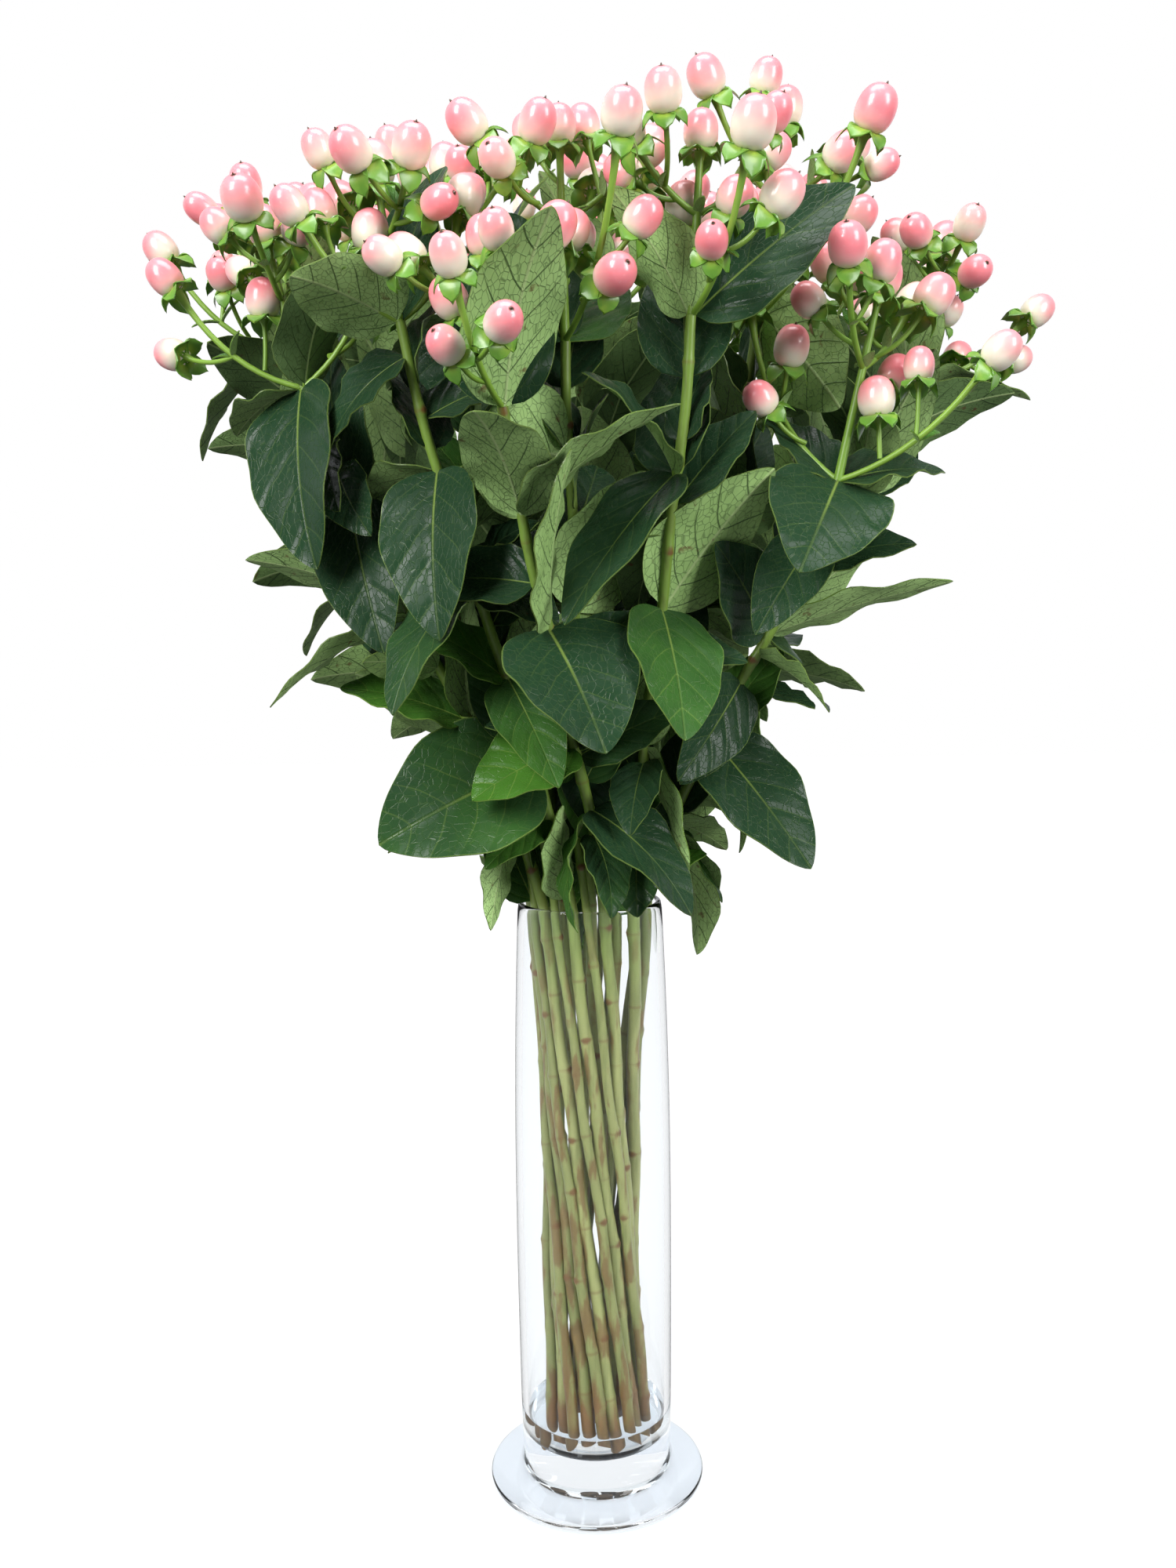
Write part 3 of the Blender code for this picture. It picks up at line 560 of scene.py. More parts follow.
def stem_finish():
    """Green above the vase and olive in it, with rusty patches, brown leaf scars and a brown cut end."""
    finish, tree, shader = new_finish("stem_green", Roughness=0.42, Coat_Weight=0.1)
    along, ring, scar = place_of(tree)
    points = surface_points(tree)
    below = minus(tree, 1.0, ease(tree, along, 0.16, 0.26))
    colour = blend(tree, below, STEM_GREEN, STEM_OLIVE)
    streak = noise_at(tree, points, 420.0, 2.0, (1, 1, 0.05))
    streaks = times(tree, ease(tree, streak, 0.42, 0.70), 0.45)
    colour = blend(tree, streaks, colour, STEM_SHADED)
    old = ease(tree, tone_of(tree), 0.35, 1.0)
    colour = blend(tree, times(tree, old, below, 0.45), colour, STEM_SHADED)
    low = times(tree, minus(tree, 1.0, ease(tree, along, 0.0, 0.12)), 0.07)
    low = plus(tree, low, times(tree, old, 0.05))
    mottle = plus(tree, noise_at(tree, points, 190.0, 4.0, (1, 1, 0.25)), low)
    patches = times(tree, ease(tree, mottle, 0.54, 0.66), 0.75, below)
    colour = blend(tree, patches, colour, STEM_BROWN)
    colour = blend(tree, times(tree, ease(tree, ring, 0.55, 1.0), 0.45), colour, STEM_BROWN)
    colour = blend(tree, ease(tree, scar, 0.25, 0.75), colour, STEM_BROWN)
    ragged = times(tree, minus(tree, mottle, 0.5), 0.05)
    foot = minus(tree, 1.0, ease(tree, minus(tree, along, ragged), 0.002, 0.026))
    colour = blend(tree, times(tree, foot, 0.85), colour, STEM_FOOT_BROWN)
    tree.links.new(colour, shader.inputs["Base Color"])
    give_bumps(tree, shader, streak, 0.35, 0.0004)
    return finish


stem_green = stem_finish()
paths = [stem_path(number) for number in range(len(STEMS))]
for number, path in enumerate(paths):
    mesh = stem_mesh(f"stem_{number + 1:02d}", number, fine_path(path))
    piece(mesh, "stem_green", f"leafy_stem_{number + 1:02d}", stem_green)

# The leaves, and the short stems that end among them
# Egg-shaped, with no stalk, in pairs set crosswise: dark blue-green and waxy above, pale and
# netted with veins below. They grow from the stems' nodes, each placed clear of all the rest,
# and smaller ones fill the inside of the bunch.

LOWEST_LEAF = 0.262
PAIR_SPACING = 0.046
LEAF_LENGTH = 0.064
LEAF_WIDTH = 0.036
LEAF_THICKNESS = 0.0008
ROOT_DEPTH = 0.0008
LEAF_ROWS = (0.0, 0.17, 0.46, 0.76, 1.0)
RISING_LEAF = (42, 70)
HANGING_LEAF = (-72, -34)
RISING_SHARE = 0.45
LEAF_BENDS = (15, 55)
LEAF_TURNS = (-25, 25)
# When a leaf meets something, it is turned and lifted by more and more steps in degrees, then shrunk
NEARBY_SWING, NEARBY_LIFT = 11, 9
NEARBY_SIZES = (1.0, 0.88, 0.76, 0.62)
BERRY_LENGTH = 0.0165
BERRY_WIDTH = 0.0140
FORK = 0.52
MIDDLE_STALK = 0.32
SIDE_STALK = {"lift": (0.28, 0.38), "out": (0.34, 0.42)}
LOW_BRANCH = {"lift": (0.55, 0.75), "out": (0.56, 0.66)}
BERRY_SIZES = (0.84, 1.04)
HEAD_REACHES = (1.0, 0.92, 1.08, 0.84, 0.76, 0.68)
CLEARANCE = 0.0005
RIM_CLEARANCE = 0.0003
RIM_GUARD_DEPTH = 0.06
RIM_GUARD_SIDES = 26
FIRST_SHORT = 100
# Heights in mm of the leaf pairs below the top one, on the stems where they show at the front
PAIR_HEIGHTS = {
    0: (404, 362, 322, 281),
    1: (413, 374, 338, 304),
    2: (394, 356, 312, 286),
    3: (410, 363, 311, 272),
    4: (354, 313, 276),
    5: (412, 358, 312),
    13: (428, 366, 314),
    12: (418, 362, 314),
}
# Leaves that show at the front: (stem, pair, side), then the way to the tip as azimuth and
# elevation in degrees, length and width in mm, bend along the leaf and turn about it in degrees
FRONT_LEAVES = {
    (0, 0, 0): (-70, -70, 74, 44, 30, 0),
    (0, 0, 1): (145, -20, 40, 30, 40, 0),
    (0, 2, 0): (-175, 20, 66, 32, 35, 35),
    (0, 3, 0): (-175, 15, 50, 38, 25, -25),
    (0, 4, 0): (-125, -70, 44, 16, 15, 75),
    (1, 0, 0): (-135, 10, 44, 36, 30, 30),
    (1, 1, 0): (-85, -70, 66, 38, 30, -5),
    (1, 2, 0): (-25, -25, 36, 28, 30, 20),
    (1, 3, 0): (-170, 30, 44, 28, 30, -30),
    (1, 4, 0): (-165, -25, 66, 58, 25, -50),
    (2, 2, 0): (-50, -55, 54, 50, 25, -10),
    (2, 3, 0): (-160, -25, 44, 36, 30, -20),
    (2, 4, 0): (-125, -80, 48, 12, 60, 40),
    (3, 0, 0): (-5, 35, 72, 36, 25, 50),
    (3, 0, 1): (-165, 55, 50, 32, 25, 40),
    (3, 1, 0): (-150, 40, 50, 26, 40, -10),
    (3, 2, 0): (-15, 50, 64, 40, 20, -70),
    (3, 3, 0): (-120, 75, 40, 24, 20, 50),
    (3, 3, 1): (-30, -75, 60, 16, 20, -75),
    (3, 4, 0): (-125, -70, 30, 24, 20, 25),
    (4, 0, 0): (-130, -45, 54, 46, 30, 0),
    (4, 0, 1): (10, 5, 42, 36, 30, 10),
    (4, 1, 0): (0, 15, 72, 24, 10, -40),
    (4, 1, 1): (-140, 55, 44, 36, 15, -60),
    (4, 2, 0): (-30, -50, 64, 42, 15, 35),
    (4, 2, 1): (30, 45, 50, 28, 10, -20),
    (4, 3, 0): (-10, -55, 36, 16, 20, 0),
    (5, 0, 0): (5, -5, 54, 22, 35, 0),
    (5, 1, 0): (-90, 55, 52, 28, 20, -5),
    (5, 2, 0): (-15, 40, 52, 32, 15, 5),
    (11, 0, 0): (-105, -65, 50, 30, 30, -10),
    (12, 0, 0): (-170, 40, 46, 32, 20, -45),
    (12, 1, 0): (-145, -10, 48, 48, 25, 75),
    (12, 2, 0): (-30, 60, 58, 40, 20, -60),
    (13, 0, 0): (-35, -50, 52, 42, 25, -70),
    (13, 0, 1): (-155, -70, 68, 30, 25, 10),
    (13, 2, 0): (-30, -25, 40, 20, 20, -45),
    (14, 0, 0): (155, 80, 70, 24, 15, 0),
}
Leaf = namedtuple("Leaf", "base along up side length width bend fold wave")
Berry = namedtuple("Berry", "base axis size")
Placed = namedtuple("Placed", "owner low high tree")


def bent_branch(start, along, end, radius):
    """A branch that sets off along one direction and bends up to its end."""
    reach = (end - start).length
    middle = start + along.normalized() * reach * 0.5
    halfway = start.lerp(middle, 0.5).lerp(middle.lerp(end, 0.5), 0.5)
    return Branch([start, halfway, end], [radius] * 3)


def berry_at(branch, size):
    axis = (branch.points[-1] - branch.points[-2]).normalized()
    return Berry(branch.points[-1], axis, size)


def berry_head(number, path, turn, reach):
    """The forked head on a stem: three berries at the fork and up to two more on low branches."""
    top, way = path[-1], (path[-1] - path[-2]).normalized()
    rise = STEMS[number][2] * MM * reach
    up = (way + Vector((0, 0, 0.8))).normalized()
    across = up.cross(direction(turn, 0)).normalized()
    sideways = across.cross(up).normalized()
    draw = random.Random(500 + number)
    fork = top + up * rise * FORK
    end = fork + up * rise * MIDDLE_STALK
    branches = [Branch([top, fork, end], [STEM_RADIUS_TOP, BRANCH_RADIUS * 1.2, BRANCH_RADIUS])]
    for start, out_way, shares in ((fork, across, SIDE_STALK), (top, sideways, LOW_BRANCH)):
        for sign in (-1, 1):
            lift, out = rise * draw.uniform(*shares["lift"]), rise * draw.uniform(*shares["out"])
            end = start + up * lift + out_way * sign * out
            branches.append(bent_branch(start, up * 0.45 + out_way * sign, end, BRANCH_RADIUS))
    branches = branches[: STEMS[number][3]]
    return branches, [berry_at(branch, draw.uniform(*BERRY_SIZES)) for branch in branches]


def leaf_share(share):
    """Half the width of a leaf along its length, as a share of its greatest: broad near its base."""
    return math.sin(math.pi * share**0.63) ** 0.7 if 0 < share < 1 else 0.0


def leaf_point(leaf, share, across):
    """A point of a leaf's middle surface; across runs from -1 to 1 between its edges."""
    start, here = leaf.bend / 2, leaf.bend * (0.5 - share)
    forward = leaf.length * (math.sin(start) - math.sin(here)) / leaf.bend
    lift = leaf.length * (math.cos(here) - math.cos(start)) / leaf.bend
    reach = leaf.width / 2 * leaf_share(share) * across
    rise = abs(reach) * leaf.fold + leaf.wave * across * math.sin(share * 7.0) * leaf_share(share)
    normal = leaf.up * math.cos(here) - leaf.along * math.sin(here)
    return leaf.base + leaf.along * forward + leaf.up * lift + leaf.side * reach + normal * rise


def make_leaf(base, stem_way, azimuth, elevation, length, width, bend, turn, draw):
    """A leaf whose upper face looks up along its stem, turned about its own length."""
    along = direction(azimuth, elevation)
    outward = along - stem_way * stem_way.dot(along)
    base = base + outward.normalized() * (STEM_RADIUS_TOP - ROOT_DEPTH)
    up = stem_way - along * stem_way.dot(along)
    up = up.normalized() if up.length > 0.2 else Vector((0, 0, 1)).cross(along).cross(along) * -1
    up = Matrix.Rotation(math.radians(turn), 3, along) @ up.normalized()
    fold, wave = 0.10 + 0.16 * draw.random(), 0.0024 * (draw.random() - 0.5)
    return Leaf(base, along, up, along.cross(up), length, width, math.radians(max(bend, 4)), fold, wave)


def pair_heights(number):
    """Heights of the leaf pairs, from the top one down."""
    top = STEMS[number][1][2] * MM
    if number in PAIR_HEIGHTS:
        return [top] + [height * MM for height in PAIR_HEIGHTS[number]]
    most = 4 if STEMS[number][0] == "outer" else 3
    count = min(most, int((top - LOWEST_LEAF) / PAIR_SPACING) + 1)
    return [top - PAIR_SPACING * step for step in range(count)]


def leaf_wishes(number, path):
    """What each leaf of a stem would like: where it is, and the angles and sizes it starts from."""
    draw = random.Random(900 + number)
    outward = math.degrees(math.atan2(path[-1].y, path[-1].x))
    first = outward + draw.uniform(-25, 25)
    full_pairs = 4 if number in PAIR_HEIGHTS else 3
    wishes = []
    for pair, height in enumerate(pair_heights(number)):
        base, way = at_height(path, height)
        size = 1.0 if pair < 3 else 0.86
        for side in (0, 1) if pair < full_pairs else (0,):
            azimuth = first + 90 * pair + 180 * side + draw.uniform(-18, 18)
            inward = math.cos(math.radians(azimuth - outward)) < -0.3
            rising = draw.random() < RISING_SHARE or inward
            elevation = draw.uniform(*(RISING_LEAF if rising else HANGING_LEAF))
            length = LEAF_LENGTH * size * draw.uniform(0.82, 1.12)
            width = LEAF_WIDTH * size * draw.uniform(0.85, 1.12)
            bend, turn = draw.uniform(*LEAF_BENDS), draw.uniform(*LEAF_TURNS)
            wish = (azimuth, elevation, length, width, bend, turn)
            if (number, pair, side) in FRONT_LEAVES:
                way_out, lift, length, width, bend, turn = FRONT_LEAVES[number, pair, side]
                wish = (way_out, lift, length * MM, width * MM, bend, turn)
            wishes.append(((number, pair, side), base, way, wish))
    return wishes


def solid_points(shape):
    """Coarse corners and triangles of a leaf, a branch or a berry, with the clearance added."""
    if isinstance(shape, Leaf):
        return leaf_shell(shape, LEAF_THICKNESS / 2 + CLEARANCE)
    if isinstance(shape, Branch):
        return tube_shell(shape, CLEARANCE)
    return berry_shell(shape, CLEARANCE)


def leaf_shell(leaf, half):
    """Both faces of a leaf, split into triangles alike, with its rim."""
    sheet, normals = [], []
    for place, share in enumerate(LEAF_ROWS):
        before = leaf_point(leaf, LEAF_ROWS[max(place - 1, 0)], 0)
        after = leaf_point(leaf, LEAF_ROWS[min(place + 1, len(LEAF_ROWS) - 1)], 0)
        normal = (after - before).cross(leaf.side).normalized()
        for spot in (0,) if share in (0.0, 1.0) else (-1, 0, 1):
            sheet.append(leaf_point(leaf, share, spot))
            normals.append(normal)
    count, tip = len(sheet), len(sheet) - 1
    faces = [(0, 2, 1), (0, 3, 2), (tip - 3, tip - 2, tip), (tip - 2, tip - 1, tip)]
    for low in range(1, tip - 3, 3):
        high = low + 3
        faces += [(low, low + 1, high), (low + 1, high + 1, high)]
        faces += [(low + 1, low + 2, high + 2), (low + 1, high + 2, high + 1)]
    rim = [0, *range(3, tip, 3), tip, *range(tip - 3, 0, -3)]
    shell = faces + [tuple(count + corner for corner in reversed(face)) for face in faces]
    for here, there in zip(rim, rim[1:] + rim[:1]):
        shell += [(here, here + count, there + count), (here, there + count, there)]
    upper = [point + normal * half for point, normal in zip(sheet, normals)]
    lower = [point - normal * half for point, normal in zip(sheet, normals)]
    return upper + lower, shell


def tube_shell(branch, extra):
    """A square tube round a branch, only for finding what it would touch."""
    points, faces = [], []
    for index, point in enumerate(branch.points):
        before = branch.points[max(index - 1, 0)]
        after = branch.points[min(index + 1, len(branch.points) - 1)]
        way = (after - before).normalized()
        one = way.orthogonal().normalized()
        other = way.cross(one)
        radius = (branch.radii[index] + extra) * 1.2
        for step in range(4):
            turn = math.radians(90 * step)
            points.append(point + (one * math.cos(turn) + other * math.sin(turn)) * radius)
    for ring in range(len(branch.points) - 1):
        for step in range(4):
            a, b = ring * 4 + step, ring * 4 + (step + 1) % 4
            faces += [(a, b, b + 4), (a, b + 4, a + 4)]
    return points, faces


def berry_shell(berry, extra):
    """A low ball round a berry and its sepals, only for finding what they would touch."""
    facing = berry.axis.to_track_quat("Z", "X")
    length, width = BERRY_LENGTH * berry.size, BERRY_WIDTH * berry.size
    outline = ((0, -0.2), (1.35, 0.0), (1.08, 0.3), (1.0, 0.55), (0.6, 0.93), (0, 1.05))
    points, faces = [], []
    for radius, height in outline:
        for step in range(8):
            turn = math.radians(45 * step)
            reach = radius * width / 2 + (extra if radius else 0)
            spot = Vector((math.cos(turn) * reach, math.sin(turn) * reach, height * length))
            points.append(berry.base + facing @ spot)
    for ring in range(len(outline) - 1):
        for step in range(8):
            a, b = ring * 8 + step, ring * 8 + (step + 1) % 8
            faces += [(a, b, b + 8), (a, b + 8, a + 8)]
    return points, faces


def placed_shape(owner, shape):
    points, faces = solid_points(shape)
    low = Vector([min(point[axis] for point in points) for axis in range(3)])
    high = Vector([max(point[axis] for point in points) for axis in range(3)])
    return Placed(owner, low, high, BVHTree.FromPolygons(points, faces))


def joined(one, other):
    """Whether two shapes belong together: a stem with all it carries, and the two leaves of a pair."""
    same_part = one.owner[1] == other.owner[1] or "wood" in (one.owner[1], other.owner[1])
    return one.owner[0] == other.owner[0] and same_part


def touches(new, others):
    """Whether a shape meets one that it isn't joined to."""
    for other in others:
        if joined(new, other):
            continue
        apart = any(new.low[a] > other.high[a] or other.low[a] > new.high[a] for a in range(3))
        if not apart and new.tree.overlap(other.tree):
            return True
    return False


def rim_guard():
    """The top of the vase's wall, kept clear by the leaves that hang near it."""
    low, high = VASE_HEIGHT - RIM_GUARD_DEPTH, VASE_HEIGHT + RIM_CLEARANCE
    inside, outside = RIM_RADIUS - WALL - RIM_CLEARANCE, RIM_RADIUS + RIM_CLEARANCE * 8
    sides = RIM_GUARD_SIDES
    points, faces = [], []
    for radius, height in ((inside, low), (inside, high), (outside, high), (outside, low)):
        for step in range(sides):
            points.append(on_ring(radius, step * 360 / sides, height))
    for ring in range(3):
        for step in range(sides):
            a, b = ring * sides + step, ring * sides + (step + 1) % sides
            faces += [(a, b, b + sides), (a, b + sides, a + sides)]
    corner = Vector((outside, outside, 0))
    tree = BVHTree.FromPolygons(points, faces)
    return Placed((-1, "glass"), Vector((0, 0, low)) - corner, Vector((0, 0, high)) + corner, tree)


def head_places(number, path, placed):
    """The first size and turn of a head of berries that keep it clear of the others."""
    for reach in HEAD_REACHES:
        for step in range(12):
            branches, berries = berry_head(number, path, 37 * number + 30 * step, reach)
            new = [placed_shape((number, "wood"), branch) for branch in branches]
            new += [placed_shape((number, "berry"), berry) for berry in berries]
            if not any(touches(shape, placed) for shape in new):
                placed += new
                return branches, berries
    return [], []


def nearby_angles():
    """Steps away from a wished direction, the smallest first, in degrees, with a share of the size."""
    steps = [(0, 0, 1.0)]
    for size in NEARBY_SIZES:
        for ring in range(1, 8):
            for spoke in range(8):
                turn = math.radians(45 * spoke + 20 * ring)
                swing, lift = NEARBY_SWING * ring * math.cos(turn), NEARBY_LIFT * ring * math.sin(turn)
                steps.append((swing, lift, size))
    return steps


def leaf_places(paths, placed):
    """Every leaf in a place where it is clear of the other stems, the front leaves first."""
    wishes = [wish for number, path in enumerate(paths) for wish in leaf_wishes(number, path)]
    wishes.sort(key=lambda wish: wish[0] not in FRONT_LEAVES)
    leaves = {number: [] for number in range(len(paths))}
    for key, base, way, wanted in wishes:
        azimuth, elevation, length, width, bend, turn = wanted
        for swing, lift, size in nearby_angles():
            draw = random.Random(key[0] * 100 + key[1] * 10 + key[2])
            leaf = make_leaf(
                base, way, azimuth + swing, elevation + lift, length * size, width * size, bend, turn, draw
            )
            new = placed_shape((key[0], key[1]), leaf)
            if not touches(new, placed):
                placed.append(new)
                leaves[key[0]].append(leaf)
                break
    return leaves


def short_tops(paths, placed):
    """The highest top at which each short stem is clear of the leaves and the other stems."""
    tops = {}
    for groove in SHORT_GROOVES:
        for height in SHORT_TOPS:
            path = short_path(groove, height, paths, 2, 2)
            above = wood(path[2:], SHORT_SLIMNESS)
            new = placed_shape((FIRST_SHORT + groove, "wood"), above)
            if not touches(new, placed):
                placed.append(new)
                tops[groove] = height
                break
    return tops


placed = [rim_guard()]
placed += [placed_shape((number, "wood"), wood(path)) for number, path in enumerate(paths)]
heads = [head_places(number, path, placed) for number, path in enumerate(paths)]
leaves = leaf_places(paths, placed)
tops = short_tops(paths, placed)
for number, (groove, height) in enumerate(tops.items()):
    points = short_path(groove, height, paths, 80, 40)
    mesh = stem_mesh(f"short_{number + 1:02d}", 40 + groove, points, SHORT_SLIMNESS)
    piece(mesh, "stem_green", f"short_stem_{number + 1:02d}", stem_green)

FILL_LOWEST = 0.238
FILL_SPACING = 0.0105
FILL_FRONT = -0.055
FILL_FACING = 0.55
FILL_SIZES = (0.62, 1.0)
FILL_TRIES = 70
# Places (x, z) in mm where light would show through the bunch from the front, closed by leaves that painted
# shade darkens
OPEN_PLACES = (
    (24, 460),
    (18, 479),
    (-96, 466),
    (-34, 356),
    (107, 461),
    (120, 452),
    (70, 375),
    (-62, 372),
)
CAMERA_PLACE = (0, -0.5417, 0.3442)
CLOSING_DEPTHS = (1.0, 1.14)
CLOSING_REACH = (0.010, 0.038)
CLOSING_SIZES = (1.6, 2.2)
CLOSING_FACING = 0.5
CLOSING_TRIES = 60


def fill_leaves(number, path):
    """Leaves of side shoots, inside the bunch and behind it, wherever one is clear of everything."""
    draw = random.Random(1100 + number)
    found, height = [], FILL_LOWEST + 0.010 * draw.random()
    while height < path[-1].z + 0.004:
        base, way = at_height(path, height)
        for attempt in range(FILL_TRIES):
            azimuth, elevation = draw.uniform(0, 360), draw.uniform(-75, 75)
            size = draw.uniform(*FILL_SIZES) * (1 - 0.3 * attempt / FILL_TRIES)
            length, width = LEAF_LENGTH * size, LEAF_WIDTH * size
            bend, turn = draw.uniform(15, 50), draw.uniform(-40, 40)
            leaf = make_leaf(base, way, azimuth, elevation, length, width, bend, turn, draw)
            edge_on = abs(leaf.up.y) < FILL_FACING and attempt % 3
            tip = leaf_point(leaf, 1, 0)
            hangs_outside = tip.z < VASE_HEIGHT and tip.xy.length > RIM_RADIUS - WALL
            if edge_on or hangs_outside or tip.y < FILL_FRONT:
                continue
            new = placed_shape((number, f"fill_{height:.3f}"), leaf)
            if not touches(new, placed):
                placed.append(new)
                found.append(leaf)
                break
        height += FILL_SPACING
    return found


def closing_leaves(number, path):
    """Leaves deep in the bunch, turned to the front, at the open places that this stem can reach."""
    draw = random.Random(1200 + number)
    found = []
    eye = Vector(CAMERA_PLACE)
    for index, (across, height) in enumerate(OPEN_PLACES):
        sight = Vector((across * MM, 0, height * MM)) - eye
        for _ in range(CLOSING_TRIES):
            target = eye + sight * draw.uniform(*CLOSING_DEPTHS)
            base, way = at_height(path, height * MM - draw.uniform(-0.02, 0.03))
            out = target - base
            if not CLOSING_REACH[0] < out.length < CLOSING_REACH[1]:
                continue
            azimuth = math.degrees(math.atan2(out.y, out.x)) + draw.uniform(-8, 8)
            elevation = math.degrees(math.asin(out.z / out.length)) + draw.uniform(-6, 6)
            length = min(LEAF_LENGTH, out.length * draw.uniform(*CLOSING_SIZES))
            turn = draw.uniform(-60, 60)
            leaf = make_leaf(base, way, azimuth, elevation, length, length * 0.5, 20, turn, draw)
            if abs(leaf.up.y) < CLOSING_FACING or leaf_point(leaf, 1, 0).y < FILL_FRONT:
                continue
            new = placed_shape((number, f"closing_{index}"), leaf)
            if not touches(new, placed):
                placed.append(new)
                found.append(leaf)
                break
    return found


BLADE_THICKNESS = 0.00045
BLADE_ROWS, BLADE_COLUMNS = 24, 12
HIDDEN_ROWS, HIDDEN_COLUMNS = 14, 8
EDGE_WAVE = 0.0013
EDGE_WAVES = (2.2, 3.6)
BLADE_WARP = 0.0016
RIB_DEPTH = 0.00035
RIB_WIDTH = 0.07
LOW_LEAVES = 0.16
LEAF_SHARP = 75


def grid_edge(rows, columns):
    """The points round the edge of a grid, in order."""
    wide = columns + 1
    edge = [row * wide for row in range(rows + 1)]
    edge += [rows * wide + column for column in range(1, wide)]
    edge += [row * wide + columns for row in range(rows - 1, -1, -1)]
    return edge + list(range(columns - 1, 0, -1))


def blade(leaf, draw, rows, columns, fade=1.0):
    """A leaf's upper face and underside, its waved edge, its sunk midrib and the places for its veins."""
    phase, waves = draw.uniform(0, WHOLE_TURN), draw.uniform(*EDGE_WAVES)
    grid, where = [], []
    warp = draw.uniform(-BLADE_WARP, BLADE_WARP) * fade
    for row in range(rows + 1):
        share = (1 - math.cos(math.pi * row / rows)) / 2
        share = share * 0.6 + row / rows * 0.4
        for column in range(columns + 1):
            across = column / columns * 2 - 1
            across = across * (1.3 - 0.3 * abs(across))
            point = leaf_point(leaf, share, across)
            here = leaf.bend * (0.5 - share)
            normal = leaf.up * math.cos(here) - leaf.along * math.sin(here)
            ripple = math.sin(share * waves * WHOLE_TURN + phase + (2.1 if across > 0 else 0))
            lift = EDGE_WAVE * fade * abs(across) ** 3 * ripple * leaf_share(share)
            reach = across * leaf_share(share)
            lift -= RIB_DEPTH * fade * math.exp(-((reach / RIB_WIDTH) ** 2)) * (1 - share)
            lift += warp * across * math.sin(share * 4.2 + phase) * leaf_share(share)
            grid.append(point + normal * lift)
            where.append((share, reach, abs(across)))
    wide = columns + 1
    normals = []
    for row in range(rows + 1):
        for column in range(wide):
            a = grid[min(row + 1, rows) * wide + column] - grid[max(row - 1, 0) * wide + column]
            b = grid[row * wide + min(column + 1, columns)] - grid[row * wide + max(column - 1, 0)]
            normal = a.cross(b)
            normals.append(normal.normalized() if normal.length > 1e-12 else leaf.up)
    for row in (0, rows):
        for column in range(wide):
            inner = 1 if row == 0 else rows - 1
            normals[row * wide + column] = normals[inner * wide + columns // 2]
    facing = 1 if normals[rows // 2 * wide + columns // 2].dot(leaf.up) > 0 else -1
    half = BLADE_THICKNESS / 2 * facing
    upper = [point + normal * half for point, normal in zip(grid, normals)]
    lower = [point - normal * half for point, normal in zip(grid, normals)]
    count = len(grid)
    faces, looks = [], []
    for row in range(rows):
        for column in range(columns):
            a = row * wide + column
            face = (a, a + 1, a + wide + 1, a + wide)[::-facing]
            faces += [face, tuple(count + corner for corner in reversed(face))]
            looks += [0, 1]
    rim = grid_edge(rows, columns)
    for here, there in zip(rim, rim[1:] + rim[:1]):
        faces.append((here, there, there + count, here + count)[::-facing])
        looks.append(0)
    return upper + lower, faces, where + where, looks


LEAF_DARK = (0.014, 0.040, 0.017)
LEAF_FRESH = (0.052, 0.155, 0.018)
LEAF_RIB = (0.200, 0.290, 0.060)
LEAF_BLOOM = (0.090, 0.140, 0.100)
UNDER_RIB = (0.420, 0.560, 0.240)
UNDER_PALE = (0.370, 0.570, 0.205)
UNDER_DEEP = (0.260, 0.420, 0.135)
# Painted shade for the undersides of the leaves inside the bunch
UNDER_PAINTED_SHADE = (0.075, 0.145, 0.048)
UNDER_VEIN = (0.024, 0.055, 0.012)
SPECK_BROWN = (0.120, 0.050, 0.018)


def vein_marks(tree, share, reach, broad):
    """How near a point is to the midrib, to a side vein and to the net, and how far between side veins."""
    away = maths(tree, "ABSOLUTE", reach)
    rib = minus(tree, 1.0, ease(tree, away, 0.008, 0.034 * broad))
    sweep = maths(tree, "POWER", plus(tree, away, 0.001), 1.5)
    warp = noise_at(tree, surface_points(tree), 45.0, 1.0)
    slide = times(tree, maths(tree, "POWER", plus(tree, share, 0.001), 0.8), 5.2)
    slide = minus(tree, slide, times(tree, away, 0.9), times(tree, sweep, 1.1))
    slide = plus(tree, slide, times(tree, warp, 0.55))
    saw = maths(tree, "ABSOLUTE", minus(tree, maths(tree, "FRACT", slide), 0.5))
    side = minus(tree, 1.0, ease(tree, saw, 0.006, 0.040 * broad))
    side = times(tree, side, minus(tree, 1.0, ease(tree, away, 0.5, 0.85)))
    spot = add(tree, "ShaderNodeCombineXYZ", {0: times(tree, share, 2.0), 1: reach})
    inputs = {"Vector": spot.outputs[0], "Scale": 10.0, "Randomness": 0.9}
    cells = add(tree, "ShaderNodeTexVoronoi", inputs, feature="DISTANCE_TO_EDGE").outputs["Distance"]
    net = minus(tree, 1.0, ease(tree, cells, 0.0, 0.055 * broad))
    return rib, side, net, saw


